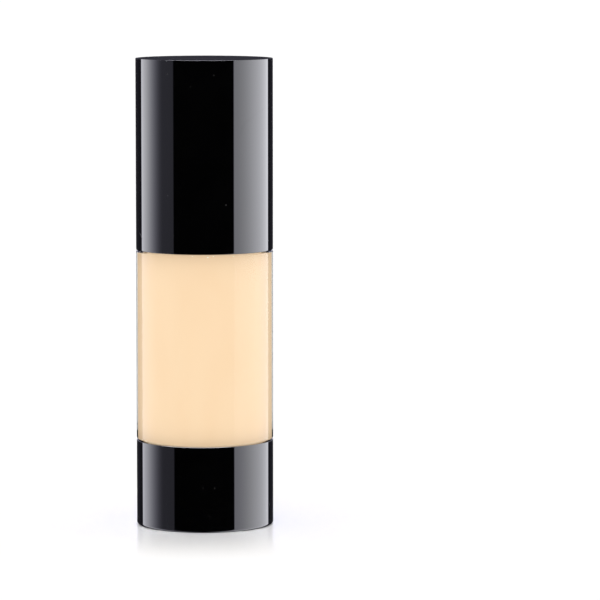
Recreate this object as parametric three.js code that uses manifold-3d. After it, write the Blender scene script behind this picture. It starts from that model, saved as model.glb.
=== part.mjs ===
// Airless pump bottle for liquid foundation, 30 ml, with its pump and pull-off overcap.
// Millimetres, +Z up, origin at the centre of the underside. The bottle stands closed.
// Nearly every piece turns about the Z axis, so most are profiles of [radius, height] pairs.
import * as THREE from 'three';
import { mergeVertices } from 'three/addons/utils/BufferGeometryUtils.js';
import Module from 'manifold-3d';

const wasm = await Module();
wasm.setup();

// ---- fits ----
const GAP = 0.3; // between fixed neighbours
const RUN = 0.1; // between pieces that slide on each other
const SEAT = 0.05; // between faces that rest on each other

// ---- container ----
const BODY_R = 17.0; // outside radius of base, bottle and overcap
const BASE_H = 21.2;
const BASE_WALL = 1.2;
const BASE_FLOOR = 1.5;
const FOOT_RECESS = 0.4;
const FOOT_RIM = 2.8; // width of the ring that the base stands on
const FOOT_EDGE = 1.0; // this and the other edges are fillet radii
const RIM_EDGE = 0.3; // top of the base cup and foot of the clear wall
const VENT_R = 1.5;
const SHOULDER_Z = 68.3; // height of the bottle's shoulder
const BOTTLE_WALL = 3.0;
const SHOULDER_WALL = 2.2;
const SHOULDER_EDGE = 0.4;
const BORE_EDGE = 1.2; // top of the bore and of the cream in it
const SPIGOT_FLOOR_GAP = 1.1; // from the base cup's floor to the foot of the bottle
const CLIP_H = 1.6; // bead in the base cup that clips the bottle
const CLIP_DEPTH = 0.4;
const CLIP_RISE = 10.0; // bead above the base cup's floor
const PLUG_FLOOR = 1.2;
const PLUG_RING = 1.1;
const PLUG_RING_H = 6.3;
const PLUG_FLANGE = 0.7;
const PLUG_VENT_R = 0.8;

// ---- follower ----
const FOLLOWER_H = 9.6;
const FOLLOWER_SKIRT = 0.9;
const FOLLOWER_LIP = 0.5;
const FOLLOWER_WEB = 1.2;
const WELL_CLEAR = 1.2; // well in the follower to the pump's barrel
const WELL_DEPTH = 10.0;

// ---- overcap ----
const CAP_WALL = 1.1;
const CAP_TOP = 1.4;
const CAP_FIT = 0.6; // cap wall to the bottle's snap ring
const CAP_BEAD = 0.18;
const CAP_BEAD_H = 0.6;
const CAP_EDGE = 0.3;
const CAP_INSIDE_EDGE = 0.6;
const CAP_FOOT_EDGE = 0.2;
const LINER_WALL = 1.0;
const LINER_TOP = 0.9;
const LINER_EDGE = 0.8;
const LINER_CLEAR = 1.05; // liner to the pump's collar
const LINER_HEADROOM = 0.8; // liner to the top of the pump's head
const LINER_RISE = 1.3; // foot of the liner above the snap ring

// ---- snap ring and neck ----
const RING_H = 5.4;
const RING_EDGE = 1.0;
const NECK_EDGE = 0.3;
const LUG_OUT = 0.3;
const LUG_H = 1.3;
const LUG_RISE = 1.6;
const LUG_ANGLES = [-165, -45, 75];
const LUG_SPAN = 50;
const NECK_H = 10.3;
const NECK_WALL = 1.8;
const THREAD_PITCH = 3.0;
const THREAD_RUNOUT = 1.15; // foot of the closure's thread above the snap ring
const THREAD_DEPTH = 0.7;
const THREAD_FOOT = 1.4; // width of a thread ridge at its foot
const THREAD_CREST = 0.7;
const THREAD_DROP = 3.2; // top of the bottle's thread below the neck's rim

// ---- closure, collar and shoulder ring ----
const CLOSURE_WALL = 0.9;
const DECK = 1.3;
const COLLAR_WALL = 0.65;
const COLLAR_LIP = 0.35;
const COLLAR_LIP_H = 0.8;
const COLLAR_FOOT_EDGE = 0.15;
const COLLAR_EDGE = 0.3; // collar, step and cone
const COLLAR_RISE = 3.05; // top of the collar above the closure's deck
const STEP_H = 3.6;
const CONE_H = 4.2;
const CONE_RIM = 2.55; // flat rim round the actuator's hole
const RING_WALL = 1.15;

// ---- pump ----
const STROKE = 5.5;
const CHAMBER_R = 3.6;
const BARREL_WALL = 1.2;
const FLANGE = 1.25;
const GASKET = 0.6;
const SKIRT_WALL = 0.9; // plug skirt that seals in the neck
const SKIRT_DEPTH = 5.0;
const SKIRT_ROOT = 1.2;
const BALL_R = 1.6;
const BALL_LIFT = 0.9;
const POCKET_CLEAR = 0.4; // side of the ball's pocket to the ball
const INLET_R = 1.0;
const TAIL_R = 2.6;
const TAIL_H = 4.3;
const RIB_COUNT = 3;
const RIB_W = 0.8;
const RIB_H = 1.0;
const BUSH_DEPTH = 4.0;
const BUSH_LIP_H = 0.85;
const BUSH_LIP = 0.7;
const STEM_WALL = 0.95;
const STEM_COLLAR = 1.8;
const ROD_R = 1.0;
const ROD_HEAD_R = 2.7;
const ROD_HEAD_H = 1.0;
const ROD_CONE_H = 0.4;
const ROD_GRIP = 6.1; // length of rod inside the stem
const PISTON_H = 4.9;
const PISTON_FLOW = 0.35; // gap between rod and piston that the cream flows through
const PISTON_LIP = 0.4;
const PISTON_SLIP = 0.8;
const SPRING_WIRE_R = 0.35;
const SPRING_TURNS = 7;

// ---- actuator ----
const HEAD_R = 7.75;
const HEAD_WALL = 1.2;
const HEAD_GAP = 5.3; // from the cone to the spout with the head pressed down
const SPOUT_OUT = 3.05; // tip beyond the skirt
const SPOUT_H = 3.6;
const SPOUT_W = 7.2;
const CHEEK_ANGLE = 65; // degrees from the spout's middle to where its cheek leaves the skirt
const SPOUT_ROOT_EDGE = 0.3;
const LIP_EDGE = 0.5; // foot of the spout's tip
const TIP_EDGE = 0.6;
const TOP_SLOPE = Math.tan(THREE.MathUtils.degToRad(4));
const TOP_EDGE = 1.8;
const CROWN = 5.6; // solid thickness over the skirt's hollow, at the spout
const BOSS_WALL = 1.25;
const BOSS_H = 11.0;
const STEM_STOP = 1.2; // end of the stem's socket above the skirt's hollow
const CHANNEL_R = 0.9;
const SEAT_R = 1.35;
const SEAT_DEPTH = 1.5;
const NOZZLE_WALL = 0.55;
const NOZZLE_PROUD = 0.15;
const NOZZLE_EDGE = 0.1;

// ---- sizes worked out from the ones above: radii, from the outside in ----
const boreR = BODY_R - BOTTLE_WALL;
const baseBoreR = BODY_R - BASE_WALL;
const spigotR = baseBoreR - GAP;
const capBoreR = BODY_R - CAP_WALL;
const ringR = capBoreR - CAP_FIT;
const linerR = capBoreR - 2 * RUN;
const linerBoreR = linerR - LINER_WALL;
const collarR = linerBoreR - LINER_CLEAR;
const collarBoreR = collarR - COLLAR_WALL;
const closureR = collarBoreR - GAP;
const closureBoreR = closureR - CLOSURE_WALL;
const closureCrestR = closureBoreR - THREAD_DEPTH;
const neckR = closureCrestR - GAP;
const neckCrestR = closureBoreR - GAP + SEAT;
const neckBoreR = neckR - NECK_WALL;
const skirtR = neckBoreR - GAP;
const flangeR = closureCrestR - RUN;
const barrelR = CHAMBER_R + BARREL_WALL;
const lipBoreR = collarBoreR - COLLAR_LIP;
const stepR = lipBoreR - 2 * RUN;
const headHoleR = HEAD_R + GAP;
const coneR = headHoleR + CONE_RIM;
const headBoreR = HEAD_R - HEAD_WALL;
const spoutReach = HEAD_R + SPOUT_OUT;
const wellR = barrelR + WELL_CLEAR;
const bushLipR = headBoreR - GAP - SEAT;
const bushLipBoreR = bushLipR - BUSH_LIP;
const bushFlangeR = bushLipR + GAP;
const deckHoleR = bushFlangeR + GAP + 2 * RUN;
const springR = bushLipBoreR - GAP - SEAT - SPRING_WIRE_R;
const stemBoreR = ROD_R + 2 * RUN;
const stemR = stemBoreR + STEM_WALL;
const bossR = stemR + RUN + BOSS_WALL;
const pocketR = BALL_R + POCKET_CLEAR;

// ---- heights, from the floor up ----
const floorZ = FOOT_RECESS + BASE_FLOOR;
const bottleFootZ = floorZ + SPIGOT_FLOOR_GAP;
const clipZ = floorZ + CLIP_RISE;
const plugZ = floorZ + 2 * RUN;
const plugTopZ = plugZ + PLUG_FLOOR + PLUG_RING_H;
const followerZ = plugTopZ + 2 * RUN;
const followerTopZ = followerZ + FOLLOWER_H;
const webTopZ = followerTopZ - FOLLOWER_LIP + RUN;
const wellZ = webTopZ - WELL_DEPTH;
const ringTopZ = SHOULDER_Z + RING_H;
const boreTopZ = ringTopZ - SHOULDER_WALL;
const neckTopZ = ringTopZ + NECK_H;
const threadH = NECK_H - THREAD_DROP - (THREAD_PITCH + THREAD_FOOT) / 2 - THREAD_RUNOUT;
const threadTurns = threadH / THREAD_PITCH;
const gasketZ = neckTopZ + SEAT;
const flangeZ = gasketZ + GASKET + SEAT;
const flangeTopZ = flangeZ + FLANGE;
const bushSeatZ = flangeTopZ + SEAT;
const deckZ = flangeTopZ + RUN;
const deckTopZ = deckZ + DECK;
const collarZ = ringTopZ + GAP;
const collarTopZ = deckTopZ + COLLAR_RISE;
const stepTopZ = collarTopZ + STEP_H;
const coneTopZ = stepTopZ + CONE_H;
const headFootZ = deckTopZ + STROKE + 2 * GAP + SEAT;
const spoutZ = coneTopZ + STROKE + HEAD_GAP;
const tipTopZ = spoutZ + SPOUT_H;
const headCavityZ = tipTopZ - CROWN;
const socketZ = headCavityZ + STEM_STOP;
const channelZ = spoutZ + SPOUT_H / 2;
const capZ = SHOULDER_Z + GAP;
const linerTopZ = tipTopZ + LINER_HEADROOM + LINER_TOP;
const capTopZ = linerTopZ + GAP + CAP_TOP;

// ---- heights inside the pump, from the bush down ----
const bushZ = bushSeatZ - BUSH_DEPTH;
const stemCollarTopZ = bushZ - GAP;
const stemZ = stemCollarTopZ - STEM_COLLAR;
const pistonTopZ = stemZ - PISTON_SLIP - RUN;
const pistonZ = pistonTopZ - PISTON_H;
const rodConeTopZ = pistonZ - RUN;
const rodZ = rodConeTopZ - ROD_CONE_H - ROD_HEAD_H;
const ledgeZ = rodZ - STROKE - RIB_H - 3 * GAP;
const ballZ = ledgeZ - RUN - BALL_LIFT - BALL_R;
const seatTopZ = ballZ + pocketR - (BALL_R + SEAT) * Math.SQRT2;
const seatZ = seatTopZ - (pocketR - INLET_R);
const tailZ = seatZ - TAIL_H;

// ---- fineness of the round shapes ----
const WIDE = 40;
const MEDIUM = 24;
const SMALL = 16;
const BALL_RINGS = 10;
const LUG_SEGMENTS = 6;
const CHEEK_SEGMENTS = 32;
const WIRE_SIDES = 6;

const finishes = {
  blackGloss: { color: 0x0b0b0e, roughness: 0.12, metalness: 0 },
  clear: { color: 0xe9eef0, roughness: 0.05, metalness: 0, transparent: true, opacity: 0.3 },
  foundation: { color: 0xf6d3a8, roughness: 0.35, metalness: 0 },
  natural: { color: 0xe6e6e2, roughness: 0.45, metalness: 0 },
  steel: { color: 0xb9bcc0, roughness: 0.3, metalness: 1 },
  rubber: { color: 0xd8d8d4, roughness: 0.7, metalness: 0 },
};

const object = new THREE.Group();

function addPiece(name, geometry, finish) {
  const mesh = new THREE.Mesh(geometry, new THREE.MeshStandardMaterial(finishes[finish]));
  mesh.name = name;
  object.add(mesh);
}

// Rounds the corners of a closed or open profile. A point is [radius, height, fillet].
function roundCorners(points, closed, steps = 3) {
  const rounded = [];
  points.forEach(([x, y, fillet = 0], index) => {
    const corner = new THREE.Vector2(x, y);
    const isEnd = !closed && (index === 0 || index === points.length - 1);
    if (!fillet || isEnd) {
      rounded.push(corner);
      return;
    }
    const [px, py] = points[(index + points.length - 1) % points.length];
    const [nx, ny] = points[(index + 1) % points.length];
    const toPrevious = new THREE.Vector2(px - x, py - y).normalize();
    const toNext = new THREE.Vector2(nx - x, ny - y).normalize();
    const half = Math.acos(toPrevious.dot(toNext)) / 2;
    const reach = fillet / Math.tan(half);
    const start = corner.clone().addScaledVector(toPrevious, reach);
    const end = corner.clone().addScaledVector(toNext, reach);
    const middle = start.clone().add(end).multiplyScalar(0.5);
    const out = middle.clone().sub(corner).normalize();
    const centre = corner.clone().addScaledVector(out, fillet / Math.sin(half));
    for (let step = 0; step <= steps; step += 1) {
      const along = start.clone().lerp(end, step / steps).sub(centre);
      rounded.push(centre.clone().add(along.setLength(fillet)));
    }
  });
  return rounded;
}

// Turns a profile about Z. Profiles run anticlockwise, with radius to the right and height up.
function revolve(points, segments, closed = true) {
  const profile = roundCorners(points, closed);
  if (closed) {
    profile.push(profile[0].clone());
  }
  return new THREE.LatheGeometry(profile, segments).rotateX(Math.PI / 2);
}

function toSolid(geometry) {
  const bare = geometry.clone();
  bare.deleteAttribute('normal');
  bare.deleteAttribute('uv');
  const merged = mergeVertices(bare, 1e-4);
  const index = merged.getIndex().array;
  const kept = [];
  for (let i = 0; i < index.length; i += 3) {
    const [a, b, c] = [index[i], index[i + 1], index[i + 2]];
    if (a !== b && b !== c && c !== a) {
      kept.push(a, b, c);
    }
  }
  const mesh = new wasm.Mesh({
    numProp: 3,
    vertProperties: new Float32Array(merged.getAttribute('position').array),
    triVerts: new Uint32Array(kept),
  });
  return new wasm.Manifold(mesh);
}

function toGeometry(solid) {
  const mesh = solid.getMesh();
  const geometry = new THREE.BufferGeometry();
  geometry.setAttribute('position', new THREE.BufferAttribute(new Float32Array(mesh.vertProperties), 3));
  geometry.setIndex(new THREE.BufferAttribute(new Uint32Array(mesh.triVerts), 1));
  geometry.computeVertexNormals();
  return geometry;
}

// Winds a closed section round Z as a right-hand helix that comes down from its top.
// The section is drawn as [radius, height]; the straight extrusion is then bent.
function wind(section, pitch, turns, stepsPerTurn, topZ) {
  const steps = Math.round(turns * stepsPerTurn);
  const straight = new THREE.ExtrudeGeometry(section, { depth: 1, steps, bevelEnabled: false });
  const position = straight.getAttribute('position');
  for (let i = 0; i < position.count; i += 1) {
    const radius = position.getX(i);
    const along = position.getZ(i);
    const angle = -along * turns * 2 * Math.PI;
    const height = topZ + position.getY(i) - along * turns * pitch;
    position.setXYZ(i, radius * Math.cos(angle), radius * Math.sin(angle), height);
  }
  return straight;
}

// A thread ridge: a trapezium whose foot sinks a little into the wall that carries it.
function threadSection(wallR, crestR) {
  const footR = wallR + Math.sign(wallR - crestR) * 2 * RUN;
  const points = [
    new THREE.Vector2(footR, -THREAD_FOOT / 2),
    new THREE.Vector2(crestR, -THREAD_CREST / 2),
    new THREE.Vector2(crestR, THREAD_CREST / 2),
    new THREE.Vector2(footR, THREAD_FOOT / 2),
  ];
  return new THREE.Shape(points);
}

function addBaseCup() {
  const footR = BODY_R - FOOT_RIM;
  addPiece('base_cup', revolve([
    [VENT_R, FOOT_RECESS],
    [footR, FOOT_RECESS],
    [footR + RUN, 0],
    [BODY_R, 0, FOOT_EDGE],
    [BODY_R, BASE_H, RIM_EDGE],
    [baseBoreR, BASE_H],
    [baseBoreR, clipZ + CLIP_H / 2],
    [baseBoreR - CLIP_DEPTH, clipZ + GAP],
    [baseBoreR - CLIP_DEPTH, clipZ - GAP],
    [baseBoreR, clipZ - CLIP_H / 2],
    [baseBoreR, floorZ],
    [VENT_R, floorZ],
  ], WIDE), 'blackGloss');
}

// Closes the foot of the bottle and lets air in under the follower.
function addBasePlug() {
  const plugR = boreR - GAP;
  addPiece('base_plug', revolve([
    [PLUG_VENT_R, plugZ],
    [spigotR - RUN, plugZ],
    [spigotR - RUN, plugZ + PLUG_FLANGE],
    [plugR, plugZ + PLUG_FLANGE],
    [plugR, plugTopZ],
    [plugR - PLUG_RING, plugTopZ],
    [plugR - PLUG_RING, plugZ + PLUG_FLOOR],
    [PLUG_VENT_R, plugZ + PLUG_FLOOR],
  ], WIDE), 'natural');
}

// A curved block on the snap ring, which the overcap's bead clicks under.
function lugSolid(angle) {
  const half = THREE.MathUtils.degToRad(LUG_SPAN / 2);
  const outline = new THREE.Shape();
  outline.absarc(0, 0, ringR + LUG_OUT, -half, half, false);
  outline.absarc(0, 0, ringR - GAP, half, -half, true);
  const block = new THREE.ExtrudeGeometry(outline, { depth: LUG_H, bevelEnabled: false, curveSegments: LUG_SEGMENTS });
  block.rotateZ(THREE.MathUtils.degToRad(angle));
  block.translate(0, 0, SHOULDER_Z + LUG_RISE);
  return toSolid(block);
}

function addBottle() {
  const shell = revolve([
    [boreR, bottleFootZ],
    [spigotR, bottleFootZ],
    [spigotR, clipZ - CLIP_H / 2],
    [spigotR - CLIP_DEPTH, clipZ - GAP],
    [spigotR - CLIP_DEPTH, clipZ + GAP],
    [spigotR, clipZ + CLIP_H / 2],
    [spigotR, BASE_H + GAP],
    [BODY_R, BASE_H + GAP, RIM_EDGE],
    [BODY_R, SHOULDER_Z, SHOULDER_EDGE],
    [ringR, SHOULDER_Z],
    [ringR, ringTopZ, RING_EDGE],
    [neckR, ringTopZ],
    [neckR, neckTopZ, NECK_EDGE],
    [neckBoreR, neckTopZ],
    [neckBoreR, boreTopZ],
    [boreR, boreTopZ, BORE_EDGE],
  ], WIDE);
  const thread = wind(threadSection(neckR, neckCrestR), THREAD_PITCH, threadTurns, WIDE,
    neckTopZ - THREAD_DROP);
  const lugs = LUG_ANGLES.map(lugSolid);
  const joined = lugs.reduce((solid, lug) => solid.add(lug), toSolid(shell).add(toSolid(thread)));
  addPiece('bottle', toGeometry(joined), 'clear');
}

function addFollower() {
  const lipR = boreR - RUN - SEAT;
  const skirtOutR = lipR - FOLLOWER_LIP;
  const skirtInR = skirtOutR - FOLLOWER_SKIRT;
  const wellWallR = wellR + FOLLOWER_WEB;
  addPiece('follower_piston', revolve([
    [0, wellZ - FOLLOWER_WEB],
    [wellWallR, wellZ - FOLLOWER_WEB],
    [wellWallR, webTopZ - FOLLOWER_WEB],
    [skirtInR, webTopZ - FOLLOWER_WEB],
    [skirtInR, followerZ],
    [lipR, followerZ],
    [lipR, followerZ + FOLLOWER_LIP],
    [skirtOutR, followerZ + 2 * FOLLOWER_LIP],
    [skirtOutR, followerTopZ - 2 * FOLLOWER_LIP],
    [lipR, followerTopZ - FOLLOWER_LIP],
    [lipR, followerTopZ],
    [skirtOutR, webTopZ],
    [wellR, webTopZ],
    [wellR, wellZ],
    [0, wellZ],
  ], WIDE, false), 'natural');
}

// The product: it fills the bottle from the follower to the pump, round the pump's barrel.
function addFoundation() {
  const fillR = boreR - 2 * RUN;
  const fillBoreR = barrelR + 2 * RUN;
  addPiece('foundation_fill', revolve([
    [0, wellZ + 2 * RUN],
    [wellR - 2 * RUN, wellZ + 2 * RUN],
    [wellR - 2 * RUN, followerTopZ + RUN],
    [fillR, followerTopZ + RUN],
    [fillR, boreTopZ - 2 * RUN, BORE_EDGE],
    [neckBoreR - 2 * RUN, boreTopZ - 2 * RUN],
    [neckBoreR - 2 * RUN, flangeZ - SKIRT_DEPTH - GAP],
    [fillBoreR, flangeZ - SKIRT_DEPTH - GAP],
    [fillBoreR, tailZ - 2 * RUN],
    [0, tailZ - 2 * RUN],
  ], WIDE, false), 'foundation');
}

function addOvercap() {
  const beadZ = capZ + CAP_BEAD_H;
  addPiece('overcap_shell', revolve([
    [0, capTopZ - CAP_TOP],
    [capBoreR, capTopZ - CAP_TOP, CAP_INSIDE_EDGE],
    [capBoreR, beadZ + CAP_BEAD_H / 2],
    [capBoreR - CAP_BEAD, beadZ],
    [capBoreR, beadZ - CAP_BEAD_H / 2],
    [capBoreR, capZ],
    [BODY_R, capZ, CAP_FOOT_EDGE],
    [BODY_R, capTopZ, CAP_EDGE],
    [0, capTopZ],
  ], WIDE, false), 'blackGloss');
  addPiece('overcap_liner', revolve([
    [0, linerTopZ - LINER_TOP],
    [linerBoreR, linerTopZ - LINER_TOP, LINER_EDGE],
    [linerBoreR, ringTopZ + LINER_RISE],
    [linerR, ringTopZ + LINER_RISE],
    [linerR, linerTopZ, LINER_EDGE],
    [0, linerTopZ],
  ], WIDE, false), 'natural');
}

function addClosure() {
  const cup = revolve([
    [closureBoreR, collarZ + GAP],
    [closureR, collarZ + GAP],
    [closureR, deckTopZ],
    [deckHoleR, deckTopZ],
    [deckHoleR, deckZ],
    [closureBoreR, deckZ],
  ], WIDE);
  const thread = wind(threadSection(closureBoreR, closureCrestR), THREAD_PITCH, threadTurns, WIDE,
    neckTopZ - THREAD_DROP - THREAD_PITCH / 2);
  addPiece('screw_closure', toGeometry(toSolid(cup).add(toSolid(thread))), 'natural');
}

function addCollarAndShoulderRing() {
  addPiece('collar_sleeve', revolve([
    [collarBoreR, collarZ],
    [collarR, collarZ, COLLAR_FOOT_EDGE],
    [collarR, collarTopZ, COLLAR_EDGE],
    [lipBoreR, collarTopZ],
    [lipBoreR, collarTopZ - COLLAR_LIP_H],
    [collarBoreR, collarTopZ - COLLAR_LIP_H],
  ], WIDE), 'blackGloss');
  addPiece('shoulder_ring', revolve([
    [stepR - RING_WALL, deckTopZ + RUN],
    [stepR, deckTopZ + RUN],
    [stepR, stepTopZ, COLLAR_EDGE],
    [coneR, coneTopZ, COLLAR_EDGE],
    [headHoleR, coneTopZ],
    [headHoleR, coneTopZ - RING_WALL],
    [coneR - RING_WALL / 2, coneTopZ - RING_WALL],
    [stepR - RING_WALL, stepTopZ],
  ], WIDE), 'blackGloss');
}

function addGasket() {
  addPiece('neck_gasket', revolve([
    [neckBoreR + 2 * RUN, gasketZ],
    [neckR - 2 * RUN, gasketZ],
    [neckR - 2 * RUN, gasketZ + GASKET],
    [neckBoreR + 2 * RUN, gasketZ + GASKET],
  ], MEDIUM), 'rubber');
}

// Barrel, inlet with its ball seat, clamping flange and plug skirt in one moulding.
function addHousing() {
  const shell = revolve([
    [INLET_R, tailZ],
    [TAIL_R, tailZ],
    [TAIL_R, seatZ - BARREL_WALL],
    [barrelR, seatZ],
    [barrelR, flangeZ - SKIRT_ROOT],
    [skirtR - SKIRT_WALL, flangeZ - SKIRT_ROOT],
    [skirtR - SKIRT_WALL, flangeZ - SKIRT_DEPTH],
    [skirtR, flangeZ - SKIRT_DEPTH],
    [skirtR, flangeZ],
    [flangeR, flangeZ],
    [flangeR, flangeTopZ],
    [CHAMBER_R, flangeTopZ],
    [CHAMBER_R, ledgeZ],
    [pocketR, ledgeZ],
    [pocketR, seatTopZ],
    [INLET_R, seatZ],
  ], MEDIUM);
  let housing = toSolid(shell);
  const ribLength = CHAMBER_R - INLET_R + RUN;
  for (let i = 0; i < RIB_COUNT; i += 1) {
    const rib = new THREE.BoxGeometry(ribLength, RIB_W, RIB_H + RUN);
    rib.translate(INLET_R + ribLength / 2, 0, ledgeZ + (RIB_H - RUN) / 2);
    rib.rotateZ((i * 2 * Math.PI) / RIB_COUNT);
    housing = housing.add(toSolid(rib));
  }
  addPiece('pump_housing', toGeometry(housing), 'natural');
}

function addBush() {
  addPiece('guide_bush', revolve([
    [stemR + RUN, bushZ],
    [CHAMBER_R - RUN - SEAT, bushZ],
    [CHAMBER_R - RUN - SEAT, bushSeatZ],
    [bushFlangeR, bushSeatZ],
    [bushFlangeR, deckTopZ],
    [bushLipR, deckTopZ],
    [bushLipR, deckTopZ + BUSH_LIP_H],
    [bushLipBoreR, deckTopZ + BUSH_LIP_H],
    [bushLipBoreR, deckTopZ],
    [stemR + RUN, deckTopZ],
  ], MEDIUM), 'natural');
}

function addStemAndRod() {
  const stemCollarR = CHAMBER_R - GAP - RUN;
  addPiece('stem', revolve([
    [stemBoreR, stemZ],
    [stemCollarR, stemZ],
    [stemCollarR, stemCollarTopZ],
    [stemR, stemCollarTopZ],
    [stemR, socketZ - GAP],
    [stemBoreR, socketZ - GAP],
  ], MEDIUM), 'natural');
  addPiece('piston_rod', revolve([
    [0, rodZ],
    [ROD_HEAD_R, rodZ],
    [ROD_HEAD_R, rodZ + ROD_HEAD_H],
    [ROD_R, rodConeTopZ],
    [ROD_R, stemZ + ROD_GRIP],
    [0, stemZ + ROD_GRIP],
  ], SMALL, false), 'natural');
}

function addPumpPiston() {
  const lipR = CHAMBER_R - RUN;
  const waistR = lipR - PISTON_LIP;
  addPiece('pump_piston', revolve([
    [ROD_R + PISTON_FLOW, pistonZ],
    [lipR, pistonZ],
    [lipR, pistonZ + 2 * PISTON_LIP],
    [waistR, pistonZ + 3 * PISTON_LIP],
    [waistR, pistonTopZ - 3 * PISTON_LIP],
    [lipR, pistonTopZ - 2 * PISTON_LIP],
    [lipR, pistonTopZ],
    [ROD_R + PISTON_FLOW, pistonTopZ],
  ], MEDIUM), 'natural');
}

function addInletBall() {
  const ball = new THREE.SphereGeometry(BALL_R, SMALL, BALL_RINGS);
  ball.rotateX(Math.PI / 2);
  ball.translate(0, 0, ballZ);
  addPiece('inlet_ball', ball, 'steel');
}

function addSpring() {
  const wire = new THREE.Shape();
  for (let i = 0; i < WIRE_SIDES; i += 1) {
    const angle = (i * 2 * Math.PI) / WIRE_SIDES;
    const point = [springR + SPRING_WIRE_R * Math.cos(angle), SPRING_WIRE_R * Math.sin(angle)];
    if (i === 0) {
      wire.moveTo(...point);
    } else {
      wire.lineTo(...point);
    }
  }
  wire.closePath();
  const topZ = headCavityZ - GAP - SPRING_WIRE_R;
  const footZ = deckTopZ + SEAT + SPRING_WIRE_R;
  const pitch = (topZ - footZ) / SPRING_TURNS;
  addPiece('return_spring', wind(wire, pitch, SPRING_TURNS, SMALL, topZ), 'steel');
}

// The head is its side outline and its plan outline, each extruded, where the two overlap.
function headBlock() {
  const rise = (x) => tipTopZ - (spoutReach - x) * TOP_SLOPE;
  const side = new THREE.Shape(roundCorners([
    [-HEAD_R, headFootZ],
    [HEAD_R, headFootZ],
    [HEAD_R, spoutZ, SPOUT_ROOT_EDGE],
    [spoutReach, spoutZ, LIP_EDGE],
    [spoutReach, tipTopZ, TIP_EDGE],
    [-HEAD_R, rise(-HEAD_R), TOP_EDGE],
  ], true));
  const sideBlock = new THREE.ExtrudeGeometry(side, { depth: 4 * HEAD_R, bevelEnabled: false });
  sideBlock.rotateX(Math.PI / 2);
  sideBlock.translate(0, 2 * HEAD_R, 0);

  const cheek = THREE.MathUtils.degToRad(CHEEK_ANGLE);
  const plan = new THREE.Shape();
  plan.absarc(0, 0, HEAD_R, cheek, 2 * Math.PI - cheek, false);
  plan.lineTo(spoutReach, -SPOUT_W / 2);
  plan.lineTo(spoutReach, SPOUT_W / 2);
  plan.closePath();
  const height = tipTopZ - spoutZ + 2 * GAP;
  const planBlock = new THREE.ExtrudeGeometry(plan, {
    depth: height, bevelEnabled: false, curveSegments: CHEEK_SEGMENTS,
  });
  planBlock.translate(0, 0, spoutZ - GAP);

  const column = revolve([
    [0, headFootZ],
    [HEAD_R, headFootZ],
    [HEAD_R, tipTopZ + GAP],
    [0, tipTopZ + GAP],
  ], WIDE, false);
  return toSolid(planBlock).add(toSolid(column)).intersect(toSolid(sideBlock));
}

function addActuator() {
  const hollow = revolve([
    [0, headFootZ - GAP],
    [headBoreR, headFootZ - GAP],
    [headBoreR, headCavityZ],
    [bossR, headCavityZ],
    [bossR, headCavityZ - BOSS_H],
    [stemR + RUN, headCavityZ - BOSS_H],
    [stemR + RUN, socketZ],
    [stemBoreR, socketZ],
    [stemBoreR, channelZ],
    [0, channelZ],
  ], MEDIUM, false);
  const channel = new THREE.CylinderGeometry(CHANNEL_R, CHANNEL_R, spoutReach, SMALL);
  channel.rotateZ(Math.PI / 2);
  channel.translate(spoutReach / 2, 0, channelZ);
  const seat = new THREE.CylinderGeometry(SEAT_R, SEAT_R, SEAT_DEPTH + GAP, SMALL);
  seat.rotateZ(Math.PI / 2);
  seat.translate(spoutReach - (SEAT_DEPTH - GAP) / 2, 0, channelZ);
  const cutter = toSolid(hollow).add(toSolid(channel)).add(toSolid(seat));
  addPiece('actuator', toGeometry(headBlock().subtract(cutter)), 'blackGloss');
}

function addNozzleInsert() {
  const outR = SEAT_R - RUN - SEAT;
  const back = spoutReach - SEAT_DEPTH + RUN;
  const front = spoutReach + NOZZLE_PROUD;
  const insert = revolve([
    [outR - NOZZLE_WALL, back],
    [outR, back],
    [outR, front, NOZZLE_EDGE],
    [outR - NOZZLE_WALL, front],
  ], SMALL);
  insert.rotateY(Math.PI / 2);
  insert.translate(0, 0, channelZ);
  addPiece('nozzle_insert', insert, 'natural');
}

addBaseCup();
addBasePlug();
addBottle();
addFollower();
addFoundation();
addOvercap();
addClosure();
addCollarAndShoulderRing();
addGasket();
addHousing();
addBush();
addStemAndRod();
addPumpPiston();
addInletBall();
addSpring();
addActuator();
addNozzleInsert();

export default object;
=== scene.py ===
"""Foundation bottle with an airless pump: the finished look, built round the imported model.

Each operator makes one piece, or one group of like pieces, as a surface worked out with numpy.
Most pieces turn about the Z axis, so a piece is an outline of (radius, height) points carried
round that axis. Lengths are metres throughout, and millimetres are written as 1.2 * MM.
"""

import functools
import math

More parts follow.
